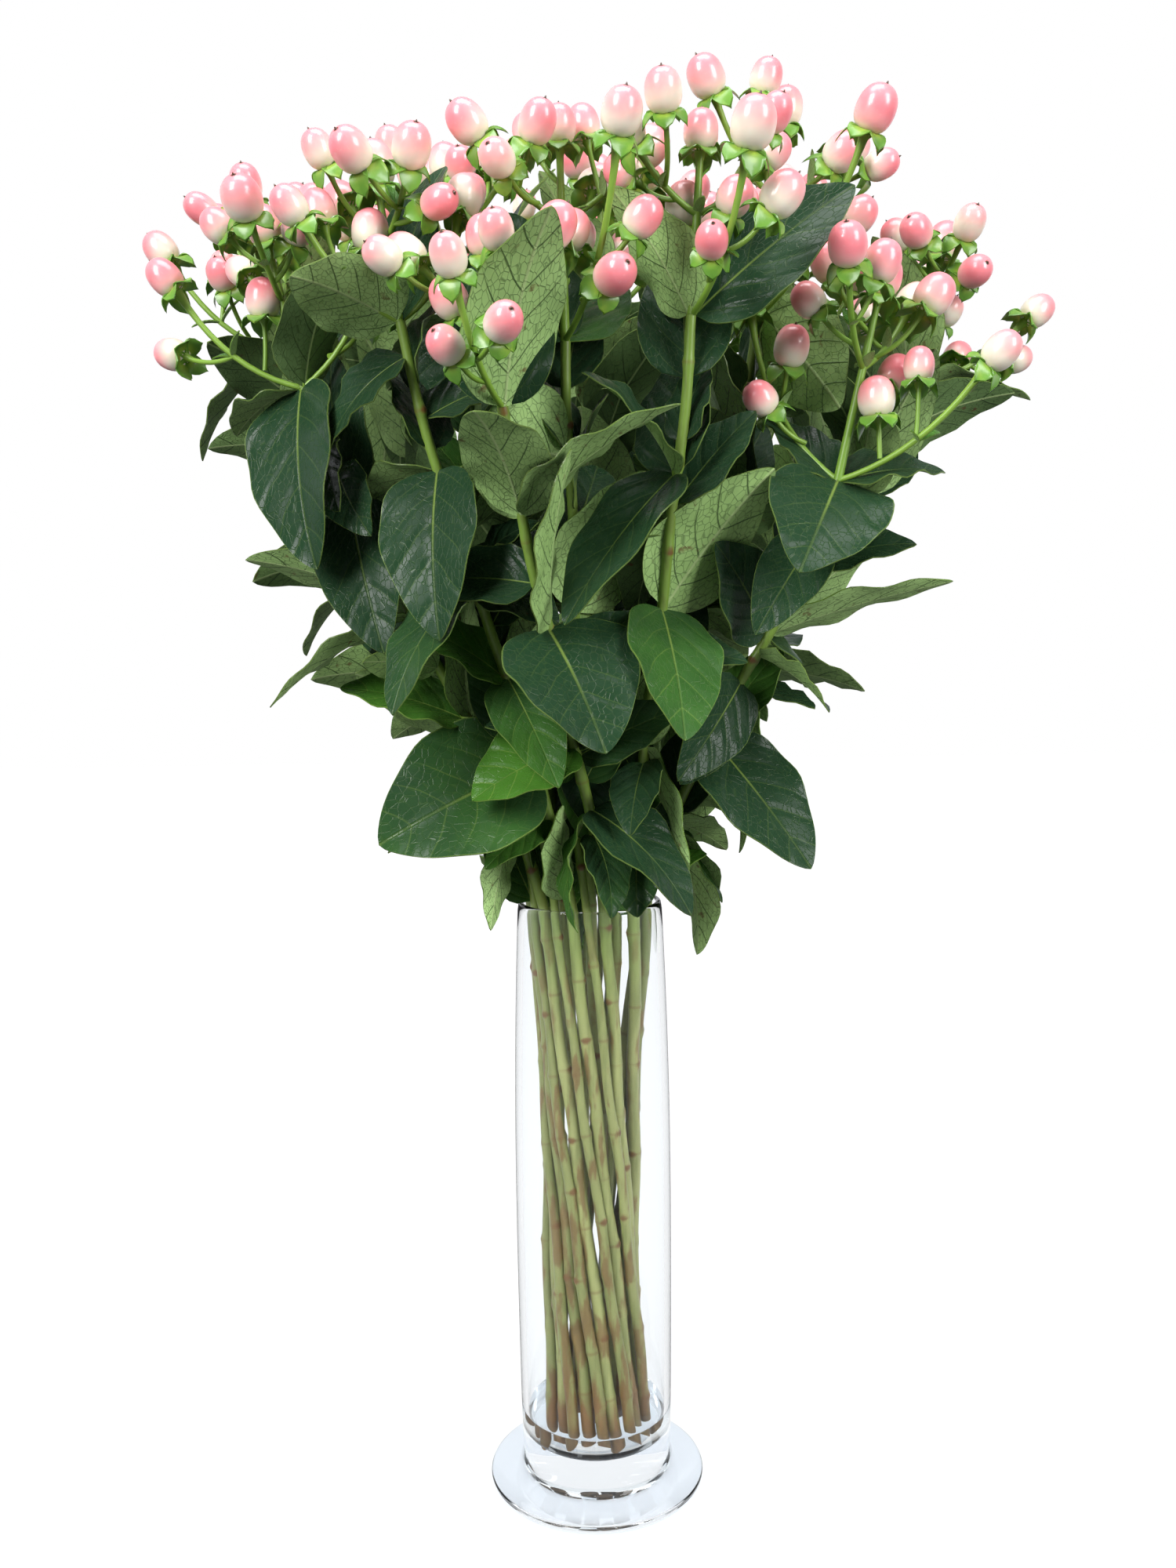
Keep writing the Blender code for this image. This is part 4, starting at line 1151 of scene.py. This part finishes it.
def leaf_top_finish():
    """Dark waxy green with a pale rib near the stem, fine light veins and a thin light rim."""
    finish, tree, shader = new_finish("leaf_top", Specular_IOR_Level=0.13)
    share, reach, edge = place_of(tree)
    points = surface_points(tree)
    rib, side, net, saw = vein_marks(tree, share, reach, 1.0)
    cloud = noise_at(tree, points, 38.0, 3.0)
    # Fresh green needs a high tone; the leaves inside the bunch, whose tone is below nought, stay dark
    # green as painted shade
    fresh = ease(tree, plus(tree, tone_of(tree), times(tree, cloud, 0.35)), 0.52, 1.05)
    colour = blend(tree, fresh, LEAF_DARK, LEAF_FRESH)
    bloom = ease(tree, noise_at(tree, points, 90.0, 6.0), 0.55, 0.75)
    colour = blend(tree, times(tree, bloom, 0.07), colour, LEAF_BLOOM)
    colour = blend(tree, times(tree, net, 0.06), colour, LEAF_RIB)
    lit = plus(tree, 0.10, times(tree, fresh, 0.28))
    colour = blend(tree, times(tree, side, lit), colour, LEAF_RIB)
    near_stem = minus(tree, 1.0, ease(tree, share, 0.1, 0.7))
    strength = plus(tree, times(tree, near_stem, 0.6), 0.12)
    colour = blend(tree, times(tree, rib, strength), colour, LEAF_RIB)
    rim = times(tree, ease(tree, edge, 0.975, 0.998), 0.45)
    colour = blend(tree, rim, colour, LEAF_RIB)
    tree.links.new(colour, shader.inputs["Base Color"])
    inputs = {"Value": noise_at(tree, points, 55.0, 4.0), "From Min": 0.3, "From Max": 0.7}
    inputs.update({"To Min": 0.18, "To Max": 0.38})
    rough = add(tree, "ShaderNodeMapRange", inputs)
    tree.links.new(rough.outputs[0], shader.inputs["Roughness"])
    quilt = times(tree, ease(tree, saw, 0.0, 0.3), 0.8)
    give_bumps(tree, shader, minus(tree, quilt, times(tree, net, 0.25), rib), 0.45, 0.0007)
    return finish


def leaf_under_finish():
    """Pale matt green, darkened deep in the bunch by painted shade, with a net of raised veins and a few
    brown specks.
    """
    finish, tree, shader = new_finish("leaf_underside", Roughness=0.58, Specular_IOR_Level=0.3)
    share, reach, edge = place_of(tree)
    tone = tone_of(tree)
    points = surface_points(tree)
    rib, side, net, _ = vein_marks(tree, share, reach, 1.25)
    cloud = noise_at(tree, points, 45.0, 3.0)
    # The deeper green follows the cloud and a low tone: random on the leaves in front, painted shade on the
    # leaves inside the bunch
    deep = ease(tree, minus(tree, cloud, times(tree, tone, 0.5)), 0.05, 0.65)
    colour = blend(tree, deep, UNDER_PALE, UNDER_DEEP)
    # Painted shade: the leaves inside the bunch, whose tone is below nought, turn dark
    inner = times(tree, ease(tree, times(tree, tone, -1.0), 0.0, 0.6), 0.8)
    colour = blend(tree, inner, colour, UNDER_PAINTED_SHADE)
    colour = blend(tree, times(tree, net, 0.52), colour, UNDER_VEIN)
    colour = blend(tree, times(tree, side, 0.8), colour, UNDER_VEIN)
    colour = blend(tree, times(tree, rib, 0.9), colour, UNDER_RIB)
    specks = ease(tree, noise_at(tree, points, 170.0, 3.0), 0.66, 0.74)
    colour = blend(tree, times(tree, specks, 0.7), colour, SPECK_BROWN)
    rim = times(tree, ease(tree, edge, 0.975, 0.998), 0.5)
    colour = blend(tree, rim, colour, LEAF_RIB)
    tree.links.new(colour, shader.inputs["Base Color"])
    height = plus(tree, times(tree, side, 0.7), times(tree, net, 0.35), rib)
    give_bumps(tree, shader, height, 0.5, 0.0007)
    return finish


leaf_top = leaf_top_finish()
leaf_underside = leaf_under_finish()


def leaves_piece(name, number, found, more, node):
    """The leaves of one stem as a piece, and more inside the bunch: fresh green low down, darkened inside
    by painted shade.
    """
    batch = Batch()
    for index, leaf in enumerate(found + more):
        draw = random.Random(1300 + number * 20 + index)
        hidden = index >= len(found)
        detail = (HIDDEN_ROWS, HIDDEN_COLUMNS) if hidden else (BLADE_ROWS, BLADE_COLUMNS)
        points, faces, where, looks = blade(leaf, draw, *detail)
        low_leaf = max(0.0, 1 - (leaf.base.z - VASE_HEIGHT) / LOW_LEAVES)
        # Painted shade: the hidden leaves above the low ones get a tone below nought, which darkens both
        # their faces
        inner = 0.9 * (1 - low_leaf) if hidden else 0.0
        tone = min(1.0, draw.random() * 0.6 + low_leaf * 0.5) - inner
        batch.add(points, faces, where, tone, looks)
    piece(batch.mesh(name, LEAF_SHARP), "leaf_green", node, leaf_top, leaf_underside)


for number, path in enumerate(paths):
    more = closing_leaves(number, path) + fill_leaves(number, path)
    leaves_piece(f"leaves_{number + 1:02d}", number, leaves[number], more, f"leafy_stem_{number + 1:02d}")
for number, (groove, height) in enumerate(tops.items()):
    owner = FIRST_SHORT + groove
    more = fill_leaves(owner, short_path(groove, height, paths, 2, 2))
    if more:
        leaves_piece(f"short_leaves_{number + 1:02d}", owner, [], more, f"short_stem_{number + 1:02d}")

# The berry stalks
# Each stem ends in a fork, and forks again: thin green stalks, a little thicker under each berry,
# with a pair of small narrow bracts where they part.

EXTRA_SIZES = (0.80, 0.98)
EXTRA_REACH = (0.014, 0.024)
EXTRA_SLIMNESS = 0.85
EXTRA_TRIES = 26
STALK_SIDES = 10
STALK_STEPS = 10
STALK_FLARE = 0.0009
FLARE_START, FLARE_WIDTH = 0.82, 0.18
BRACT_LENGTH = 0.011
BRACT_WIDTH = 0.0036
BRACT_ROWS, BRACT_COLUMNS = 8, 4
BRACT_TONE = 0.9


def curve_through(branch):
    """A smooth curve through a branch's three points, and its radius at each step."""
    start, halfway, end = branch.points
    handle = halfway * 2 - (start + end) / 2
    points, radii = [], []
    for step in range(STALK_STEPS + 1):
        share = step / STALK_STEPS
        points.append(start.lerp(handle, share).lerp(handle.lerp(end, share), share))
        slim = branch.radii[0] + (branch.radii[-1] - branch.radii[0]) * share
        radii.append(slim + STALK_FLARE * max(0, (share - FLARE_START) / FLARE_WIDTH) ** 2)
    return points, radii


def extra_berries(number, branches):
    """More berries than the solids hold, each on a side stalk where it is clear of everything."""
    draw = random.Random(700 + number)
    found, spots = [], []
    for branch in branches[1:]:
        spots.append((branch.points[1], branch))
        spots.append((branch.points[0].lerp(branch.points[1], 0.55), branch))
    spots.append((branches[0].points[0].lerp(branches[0].points[1], 0.45), branches[0]))
    spots.append((branches[0].points[1].lerp(branches[0].points[2], 0.5), branches[0]))
    for index, (start, parent) in enumerate(spots):
        way = (parent.points[2] - parent.points[0]).normalized()
        size = draw.uniform(*EXTRA_SIZES)
        for _ in range(EXTRA_TRIES):
            turn = math.radians(draw.uniform(0, 360))
            out = Matrix.Rotation(turn, 3, way) @ way.orthogonal().normalized()
            heading = (out + way * draw.uniform(0.3, 0.9) + Vector((0, 0, 0.55))).normalized()
            end = start + heading * draw.uniform(*EXTRA_REACH)
            branch = bent_branch(start, out + way * 0.6, end, BRANCH_RADIUS * EXTRA_SLIMNESS)
            berry = berry_at(branch, size)
            outer = Branch(branch.points[1:], branch.radii[1:])
            new = [placed_shape((number, f"extra_{index}"), shape) for shape in (berry, outer)]
            if not any(touches(shape, placed) for shape in new):
                placed.extend(new)
                found.append((branch, berry))
                break
    return found


def bracts_at(point, way, draw):
    """A pair of small leaves that spread from a fork."""
    made = []
    turn = draw.uniform(0, 360)
    for side in (0, 180):
        out = Matrix.Rotation(math.radians(turn + side), 3, way) @ way.orthogonal().normalized()
        along = (out + way * draw.uniform(0.1, 0.7)).normalized()
        up = (way - along * way.dot(along)).normalized()
        length = BRACT_LENGTH * draw.uniform(0.7, 1.25)
        bend = math.radians(draw.uniform(20, 60))
        made.append(Leaf(point, along, up, along.cross(up), length, BRACT_WIDTH, bend, 0.2, 0))
    return made


def add_bracts(batch, fork, way, draw):
    """A pair of bracts at a fork, set round the way that its stalk goes."""
    for bract in bracts_at(fork, way.normalized(), draw):
        points, faces, where, looks = blade(bract, draw, BRACT_ROWS, BRACT_COLUMNS, 0.0)
        batch.add(points, faces, where, BRACT_TONE, looks)


STALK_GREEN = (0.235, 0.400, 0.050)
STALK_SHADED = (0.130, 0.260, 0.030)


def stalk_finish():
    """Bright yellow-green, clouded, and a little darker on some stalks."""
    finish, tree, shader = new_finish("stalk_green", Roughness=0.4)
    streak = noise_at(tree, surface_points(tree), 240.0, 3.0)
    darker = times(tree, plus(tree, tone_of(tree), streak), 0.45)
    colour = blend(tree, darker, STALK_GREEN, STALK_SHADED)
    tree.links.new(colour, shader.inputs["Base Color"])
    give_bumps(tree, shader, streak, 0.2, 0.0003)
    return finish


stalk_green = stalk_finish()
all_berries = []
for number, (branches, berries) in enumerate(heads):
    extras = extra_berries(number, branches)
    all_berries.append(berries + [berry for _, berry in extras])
    stalks, bracts = Batch(), Batch()
    draw = random.Random(760 + number)
    for index, branch in enumerate(branches + [branch for branch, _ in extras]):
        points, radii = curve_through(branch)
        made, faces, places = tube(points, radii, STALK_SIDES)
        stalks.add(made, faces, places, draw.random())
        if 0 < index < len(branches):
            add_bracts(bracts, branch.points[1], branch.points[2] - branch.points[1], draw)
    start, fork, _ = branches[0].points
    add_bracts(bracts, fork, fork - start, draw)
    node = f"leafy_stem_{number + 1:02d}"
    piece(stalks.mesh(f"stalks_{number + 1:02d}"), "stem_green", node, stalk_green)
    mesh = bracts.mesh(f"bracts_{number + 1:02d}", LEAF_SHARP)
    piece(mesh, "leaf_green", node, leaf_top, leaf_underside)

# The sepals
# Five rounded green spoons under each berry, grown from the top of its stalk, yellow-green in
# the middle and turned back at their tips.

SEPALS = 5
SEPAL_REACH = 0.0098
SEPAL_WIDTH = 0.0086
SEPAL_THICKNESS = 0.00045
SEPAL_START = 0.0006
SEPAL_DROOPS = (0.0035, 0.0085)
SEPAL_ROWS = 8
SEPAL_COLUMNS = 6


def sepal_point(share, across, turn, droop):
    """A point of a sepal's middle surface, in the berry's own frame."""
    along = share - 0.12 * droop / 0.006 * share**3
    reach = SEPAL_START + (SEPAL_REACH - SEPAL_START) * along
    half = SEPAL_WIDTH / 2 * (0.42 + 0.58 * math.sin(math.pi / 2 * min(1.0, share / 0.58)))
    half *= math.sqrt(max(0.0, 1 - max(0.0, (share - 0.52) / 0.48) ** 2))
    lift = 0.0015 * math.sin(math.pi * share * 0.8) - droop * share**2.4
    lift += 0.0011 * across * across * share
    return Matrix.Rotation(turn, 3, "Z") @ Vector((reach, half * across, lift))


def under_berry(berry):
    """Where a berry's stalk ends, facing along the berry and scaled to its size."""
    facing = berry.axis.to_track_quat("Z", "X").to_matrix().to_4x4()
    return Matrix.Translation(berry.base) @ facing @ Matrix.Scale(berry.size, 4)


def sepal_ring(berry, draw):
    """All five sepals of a berry."""
    frame_at = under_berry(berry)
    points, faces, places = [], [], []
    wide = SEPAL_COLUMNS + 1
    for sepal in range(SEPALS):
        turn = 2 * math.pi * (sepal - 0.5) / SEPALS + draw.uniform(-0.09, 0.09)
        droop = draw.uniform(*SEPAL_DROOPS)
        start = len(points)
        for layer in (1, -1):
            for row in range(SEPAL_ROWS + 1):
                share = row / SEPAL_ROWS
                for column in range(wide):
                    across = column / SEPAL_COLUMNS * 2 - 1
                    spot = sepal_point(share, across, turn, droop)
                    spot.z += layer * SEPAL_THICKNESS / 2
                    points.append(frame_at @ spot)
                    places.append((share, abs(across), 0))
        count = (SEPAL_ROWS + 1) * wide
        for row in range(SEPAL_ROWS):
            for column in range(SEPAL_COLUMNS):
                a = start + row * wide + column
                faces.append((a, a + wide, a + wide + 1, a + 1))
                faces.append((a + count, a + count + 1, a + count + wide + 1, a + count + wide))
        rim = [start + spot for spot in grid_edge(SEPAL_ROWS, SEPAL_COLUMNS)]
        for here, there in zip(rim, rim[1:] + rim[:1]):
            faces.append((here, here + count, there + count, there))
    return points, faces, places


SEPAL_GREEN = (0.110, 0.265, 0.026)
SEPAL_HEART = (0.420, 0.540, 0.070)


def sepal_finish():
    """Fresh green spoons, yellow-green where they spread from the stalk."""
    finish, tree, shader = new_finish("sepal_green", Roughness=0.36, Coat_Weight=0.1)
    share, across, _ = place_of(tree)
    points = surface_points(tree)
    near_stalk = minus(tree, 1.0, ease(tree, share, 0.25, 0.8))
    in_middle = minus(tree, 1.0, ease(tree, across, 0.2, 0.9))
    paler = plus(tree, 0.35, times(tree, tone_of(tree), 0.5))
    colour = blend(tree, times(tree, near_stalk, in_middle, paler), SEPAL_GREEN, SEPAL_HEART)
    cloud = ease(tree, noise_at(tree, points, 160.0, 3.0), 0.5, 0.8)
    colour = blend(tree, times(tree, cloud, 0.4), colour, SEPAL_HEART)
    tree.links.new(colour, shader.inputs["Base Color"])
    give_bumps(tree, shader, noise_at(tree, points, 600.0, 2.0), 0.2, 0.0003)
    return finish


sepal_green = sepal_finish()
for number, berries in enumerate(all_berries):
    batch = Batch()
    draw = random.Random(1700 + number)
    for berry in berries:
        points, faces, places = sepal_ring(berry, draw)
        batch.add(points, faces, places, draw.random())
    mesh = batch.mesh(f"sepals_{number + 1:02d}")
    piece(mesh, "sepal_green", f"leafy_stem_{number + 1:02d}", sepal_green)

# The berries
# Egg-shaped and glossy, faintly three-lobed, creamy at the base and pink towards the tip, where
# the dried flower leaves a tiny brown point. Each sits in its sepals at the end of its stalk.

BERRY_SEGMENTS = 24
BERRY_RINGS = 18
BERRY_TOP = 0.975
POINT_START = 0.9745
TIP_LENGTH = 0.0008
TIP_RADIUS = 0.00034
EGG_FULLNESS = 2.25
BERRY_SQUEEZES = (0.94, 1.03)
LOBE_HEIGHTS = (0.01, 0.028)


def berry_radius(share):
    """Half the width of a berry along its length: a blunt egg, fuller than an ellipse."""
    off_middle = abs(2 * share**0.9 - 1)
    return BERRY_WIDTH / 2 * max(0.0, 1 - off_middle**EGG_FULLNESS) ** (1 / EGG_FULLNESS)


def berry_rings():
    """Height, radius and share of the way up for each ring of a berry, with its brown point over 1."""
    rings = []
    for ring in range(1, BERRY_RINGS):
        share = (1 - math.cos(math.pi * ring / BERRY_RINGS)) / 2
        rings.append((share * BERRY_LENGTH * BERRY_TOP, berry_radius(share), share))
    top = BERRY_LENGTH * POINT_START
    rings += [(top, TIP_RADIUS * 1.4, 1.1), (top + TIP_LENGTH * 0.5, TIP_RADIUS, 1.3)]
    return rings + [(top + TIP_LENGTH, TIP_RADIUS * 0.5, 1.4)]


def berry_body(berry, draw):
    """One berry as a loft of rings with a pole at each end."""
    frame_at = under_berry(berry)
    squeeze, lobes = draw.uniform(*BERRY_SQUEEZES), draw.uniform(*LOBE_HEIGHTS)
    turned = draw.uniform(0, WHOLE_TURN)
    points, places, faces = [frame_at @ Vector((0, 0, 0.0001))], [(0, 0, 0)], []
    rings = berry_rings()
    for height, radius, share in rings:
        for step in range(BERRY_SEGMENTS):
            turn = 2 * math.pi * step / BERRY_SEGMENTS
            swell = 1 + lobes * math.cos(3 * turn + turned) * max(0, 1 - share)
            reach = radius * swell * (squeeze if share <= 1 else 1)
            points.append(frame_at @ Vector((reach * math.cos(turn), reach * math.sin(turn), height)))
            places.append((share, math.cos(turn + turned), 0))
    points.append(frame_at @ Vector((0, 0, rings[-1][0] + 0.0001)))
    places.append((1.4, 0, 0))
    for step in range(BERRY_SEGMENTS):
        after = (step + 1) % BERRY_SEGMENTS
        faces.append((0, 1 + after, 1 + step))
        for ring in range(len(rings) - 1):
            a, b = 1 + ring * BERRY_SEGMENTS + step, 1 + ring * BERRY_SEGMENTS + after
            faces.append((a, b, b + BERRY_SEGMENTS, a + BERRY_SEGMENTS))
        last = 1 + (len(rings) - 1) * BERRY_SEGMENTS
        faces.append((last + step, last + after, len(points) - 1))
    return points, faces, places


BERRY_CREAM = (0.800, 0.720, 0.590)
BERRY_BLUSH = (0.890, 0.460, 0.440)
BERRY_PINK = (0.860, 0.220, 0.260)
BERRY_POINT = (0.060, 0.026, 0.012)


def berry_finish():
    """Cream turning to pink up the berry, more so on one side and on some berries, with a high gloss."""
    finish, tree, shader = new_finish("berry_pink", Roughness=0.3, Coat_Weight=0.35, Coat_Roughness=0.12)
    shader.inputs["Subsurface Weight"].default_value = 0.2
    shader.inputs["Subsurface Radius"].default_value = (0.004, 0.002, 0.0015)
    shader.inputs["Subsurface Scale"].default_value = 0.6
    share, side, _ = place_of(tree)
    points = surface_points(tree)
    of_berry = times(tree, minus(tree, tone_of(tree), 0.5), 0.55)
    cloud = times(tree, minus(tree, noise_at(tree, points, 95.0, 2.0), 0.5), 0.35)
    ripe = plus(tree, share, of_berry, times(tree, side, 0.09), cloud)
    colour = blend(tree, ease(tree, ripe, 0.14, 0.54), BERRY_CREAM, BERRY_BLUSH)
    colour = blend(tree, times(tree, ease(tree, ripe, 0.36, 0.86), 0.92), colour, BERRY_PINK)
    fleck = ease(tree, noise_at(tree, points, 900.0, 1.0), 0.62, 0.8)
    colour = blend(tree, times(tree, fleck, 0.12), colour, BERRY_CREAM)
    colour = blend(tree, ease(tree, share, 1.0, 1.08), colour, BERRY_POINT)
    tree.links.new(colour, shader.inputs["Base Color"])
    return finish


berry_pink = berry_finish()
for number, berries in enumerate(all_berries):
    batch = Batch()
    draw = random.Random(1800 + number)
    for berry in berries:
        points, faces, places = berry_body(berry, draw)
        batch.add(points, faces, places, draw.random())
    mesh = batch.mesh(f"berries_{number + 1:02d}")
    piece(mesh, "berry_pink", f"leafy_stem_{number + 1:02d}", berry_pink)

# The studio
# A white floor under a white sky, with soft lights at either side in front and one overhead. The
# camera stands close in front, level with the middle of the bunch and looking slightly down.

FLOOR_REACH = 4.0
FLOOR_BELOW = -0.0003
FLOOR_GLOW = 0.93
FLOOR_DULL = (0.14, 0.14, 0.14, 1)
FLOOR_WHITE = (1.0, 1.0, 1.0)
# The painted shadow of the glass foot on the floor
FOOT_SHADE = (0.80, 0.86, 0.93)
# Distances in metres from the vase's middle between which the floor's look changes
NEAR_FLOOR = (0.05, 0.07)
CLOSE_FLOOR = (0.09, 0.12)
FAR_FLOOR = (0.5, 2.5)
MIRRORED_FLOOR = 0.55
SKY_WHITE = (1.0, 1.0, 1.0)
SKY_BEHIND = (0.85, 0.87, 0.90)
SKY_FRONT = (0.12, 0.125, 0.135)
SKY_HIGH = (0.30, 0.31, 0.33)
ROOM_BEHIND = (0.93, 0.95, 0.97)
ROOM_FRONT = (0.50, 0.54, 0.58)
LIGHT_TARGET = (0, 0, 0.35)
# Each light: its place, its width and height in metres, and its power in watts
LIGHTS = {
    "left_light": ((-0.75, -0.95, 1.0), (0.45, 0.9), 25),
    "right_light": ((0.85, -0.8, 0.75), (0.4, 0.8), 14),
    "top_light": ((0.0, -0.25, 1.5), (0.9, 0.6), 13),
}
IMAGE_HEIGHT = 2000
LENS_PIXELS = 1700
SENSOR = 36.0
CAMERA_PITCH = 0.09296
CAMERA_ROLL = -0.0135


def straight_through(tree):
    """One where it is seen directly or through the glass, and one where the glass mirrors it inside."""
    kind = add(tree, "ShaderNodeLightPath")
    refracted = kind.outputs["Is Transmission Ray"]
    mirrored = maths(tree, "GREATER_THAN", kind.outputs["Glossy Depth"], 0.5)
    inside = times(tree, refracted, mirrored)
    seen = maths(tree, "MAXIMUM", kind.outputs["Is Camera Ray"], refracted)
    return minus(tree, seen, inside), inside


def floor_finish():
    """Glowing white where it is seen and round the foot, grey-blue under the foot as a painted shadow of
    the glass, and dull for the light that falls on it.
    """
    finish, tree, shader = new_finish("floor_white", Base_Color=FLOOR_DULL, Roughness=0.9)
    shader.inputs["Specular IOR Level"].default_value = 0.0
    points = surface_points(tree)
    away = add(tree, "ShaderNodeVectorMath", {0: points}, operation="LENGTH").outputs["Value"]
    seen, inside = straight_through(tree)
    near = minus(tree, 1.0, ease(tree, away, *NEAR_FLOOR))
    depth = add(tree, "ShaderNodeSeparateXYZ", {"Vector": points}).outputs[1]
    behind = ease(tree, maths(tree, "DIVIDE", depth, away), -0.85, -0.5)
    close = minus(tree, 1.0, ease(tree, away, *CLOSE_FLOOR))
    mirrored = maths(tree, "MAXIMUM", maths(tree, "MAXIMUM", behind, close), MIRRORED_FLOOR)
    shown = maths(tree, "MAXIMUM", maths(tree, "MAXIMUM", seen, near), times(tree, inside, mirrored))
    far = times(tree, ease(tree, away, *FAR_FLOOR), 1 - FLOOR_GLOW)
    glow = times(tree, shown, plus(tree, far, FLOOR_GLOW))
    # Painted shadow: under the glass foot the floor glows grey-blue instead of white
    under_foot = minus(tree, 1.0, ease(tree, away, FOOT_RADIUS - 0.001, FOOT_RADIUS + 0.001))
    tree.links.new(blend(tree, under_foot, FLOOR_WHITE, FOOT_SHADE), shader.inputs["Emission Color"])
    tree.links.new(glow, shader.inputs["Emission Strength"])
    return finish


def studio_floor():
    """One wide square, just under the foot."""
    mesh = bpy.data.meshes.new("floor")
    corners = [(-1, -1), (1, -1), (1, 1), (-1, 1)]
    points = [(across * FLOOR_REACH, deep * FLOOR_REACH, FLOOR_BELOW) for across, deep in corners]
    mesh.from_pydata(points, [], [(0, 1, 2, 3)])
    mesh.materials.append(floor_finish())
    item = bpy.data.objects.new("floor", mesh)
    bpy.context.scene.collection.objects.link(item)


def soft_light(name, place, size, power):
    """A panel of white light turned towards the bunch."""
    lamp = bpy.data.lights.new(name, "AREA")
    lamp.shape = "RECTANGLE"
    lamp.size, lamp.size_y = size
    lamp.energy = power
    item = bpy.data.objects.new(name, lamp)
    item.location = place
    item.rotation_euler = (Vector(LIGHT_TARGET) - Vector(place)).to_track_quat("-Z", "Y").to_euler()
    bpy.context.scene.collection.objects.link(item)


def sky():
    """White where it is seen. It lights the bunch as a bright wall behind and a dim room before it.

    Where the glass mirrors it inside, it is a pale room all round, so that no edge turns black.
    """
    world = bpy.data.worlds.new("studio")
    world.use_nodes = True
    tree = world.node_tree
    back = tree.nodes["Background"]
    way = add(tree, "ShaderNodeTexCoord").outputs["Generated"]
    parts = add(tree, "ShaderNodeSeparateXYZ", {"Vector": way})
    colour = blend(tree, ease(tree, parts.outputs[1], -0.35, 0.6), SKY_FRONT, SKY_BEHIND)
    colour = blend(tree, ease(tree, parts.outputs[2], 0.35, 0.9), colour, SKY_HIGH)
    seen, inside = straight_through(tree)
    room = blend(tree, ease(tree, parts.outputs[1], -0.92, -0.45), ROOM_FRONT, ROOM_BEHIND)
    colour = blend(tree, inside, colour, room)
    colour = blend(tree, seen, colour, SKY_WHITE)
    tree.links.new(colour, back.inputs["Color"])
    back.inputs["Strength"].default_value = 1.0
    bpy.context.scene.world = world


studio_floor()
sky()
for name, (place, size, power) in LIGHTS.items():
    soft_light(name, place, size, power)
bpy.context.scene.view_settings.view_transform = "Standard"

lens = bpy.data.cameras.new("camera")
lens.sensor_width = SENSOR
lens.lens = SENSOR * LENS_PIXELS / IMAGE_HEIGHT
camera = bpy.data.objects.new("camera", lens)
turned_up = Matrix.Rotation(math.pi / 2 - CAMERA_PITCH, 4, "X")
camera.matrix_world = Matrix.Translation(CAMERA_PLACE) @ turned_up @ Matrix.Rotation(CAMERA_ROLL, 4, "Z")
bpy.context.scene.collection.objects.link(camera)
bpy.context.scene.camera = camera
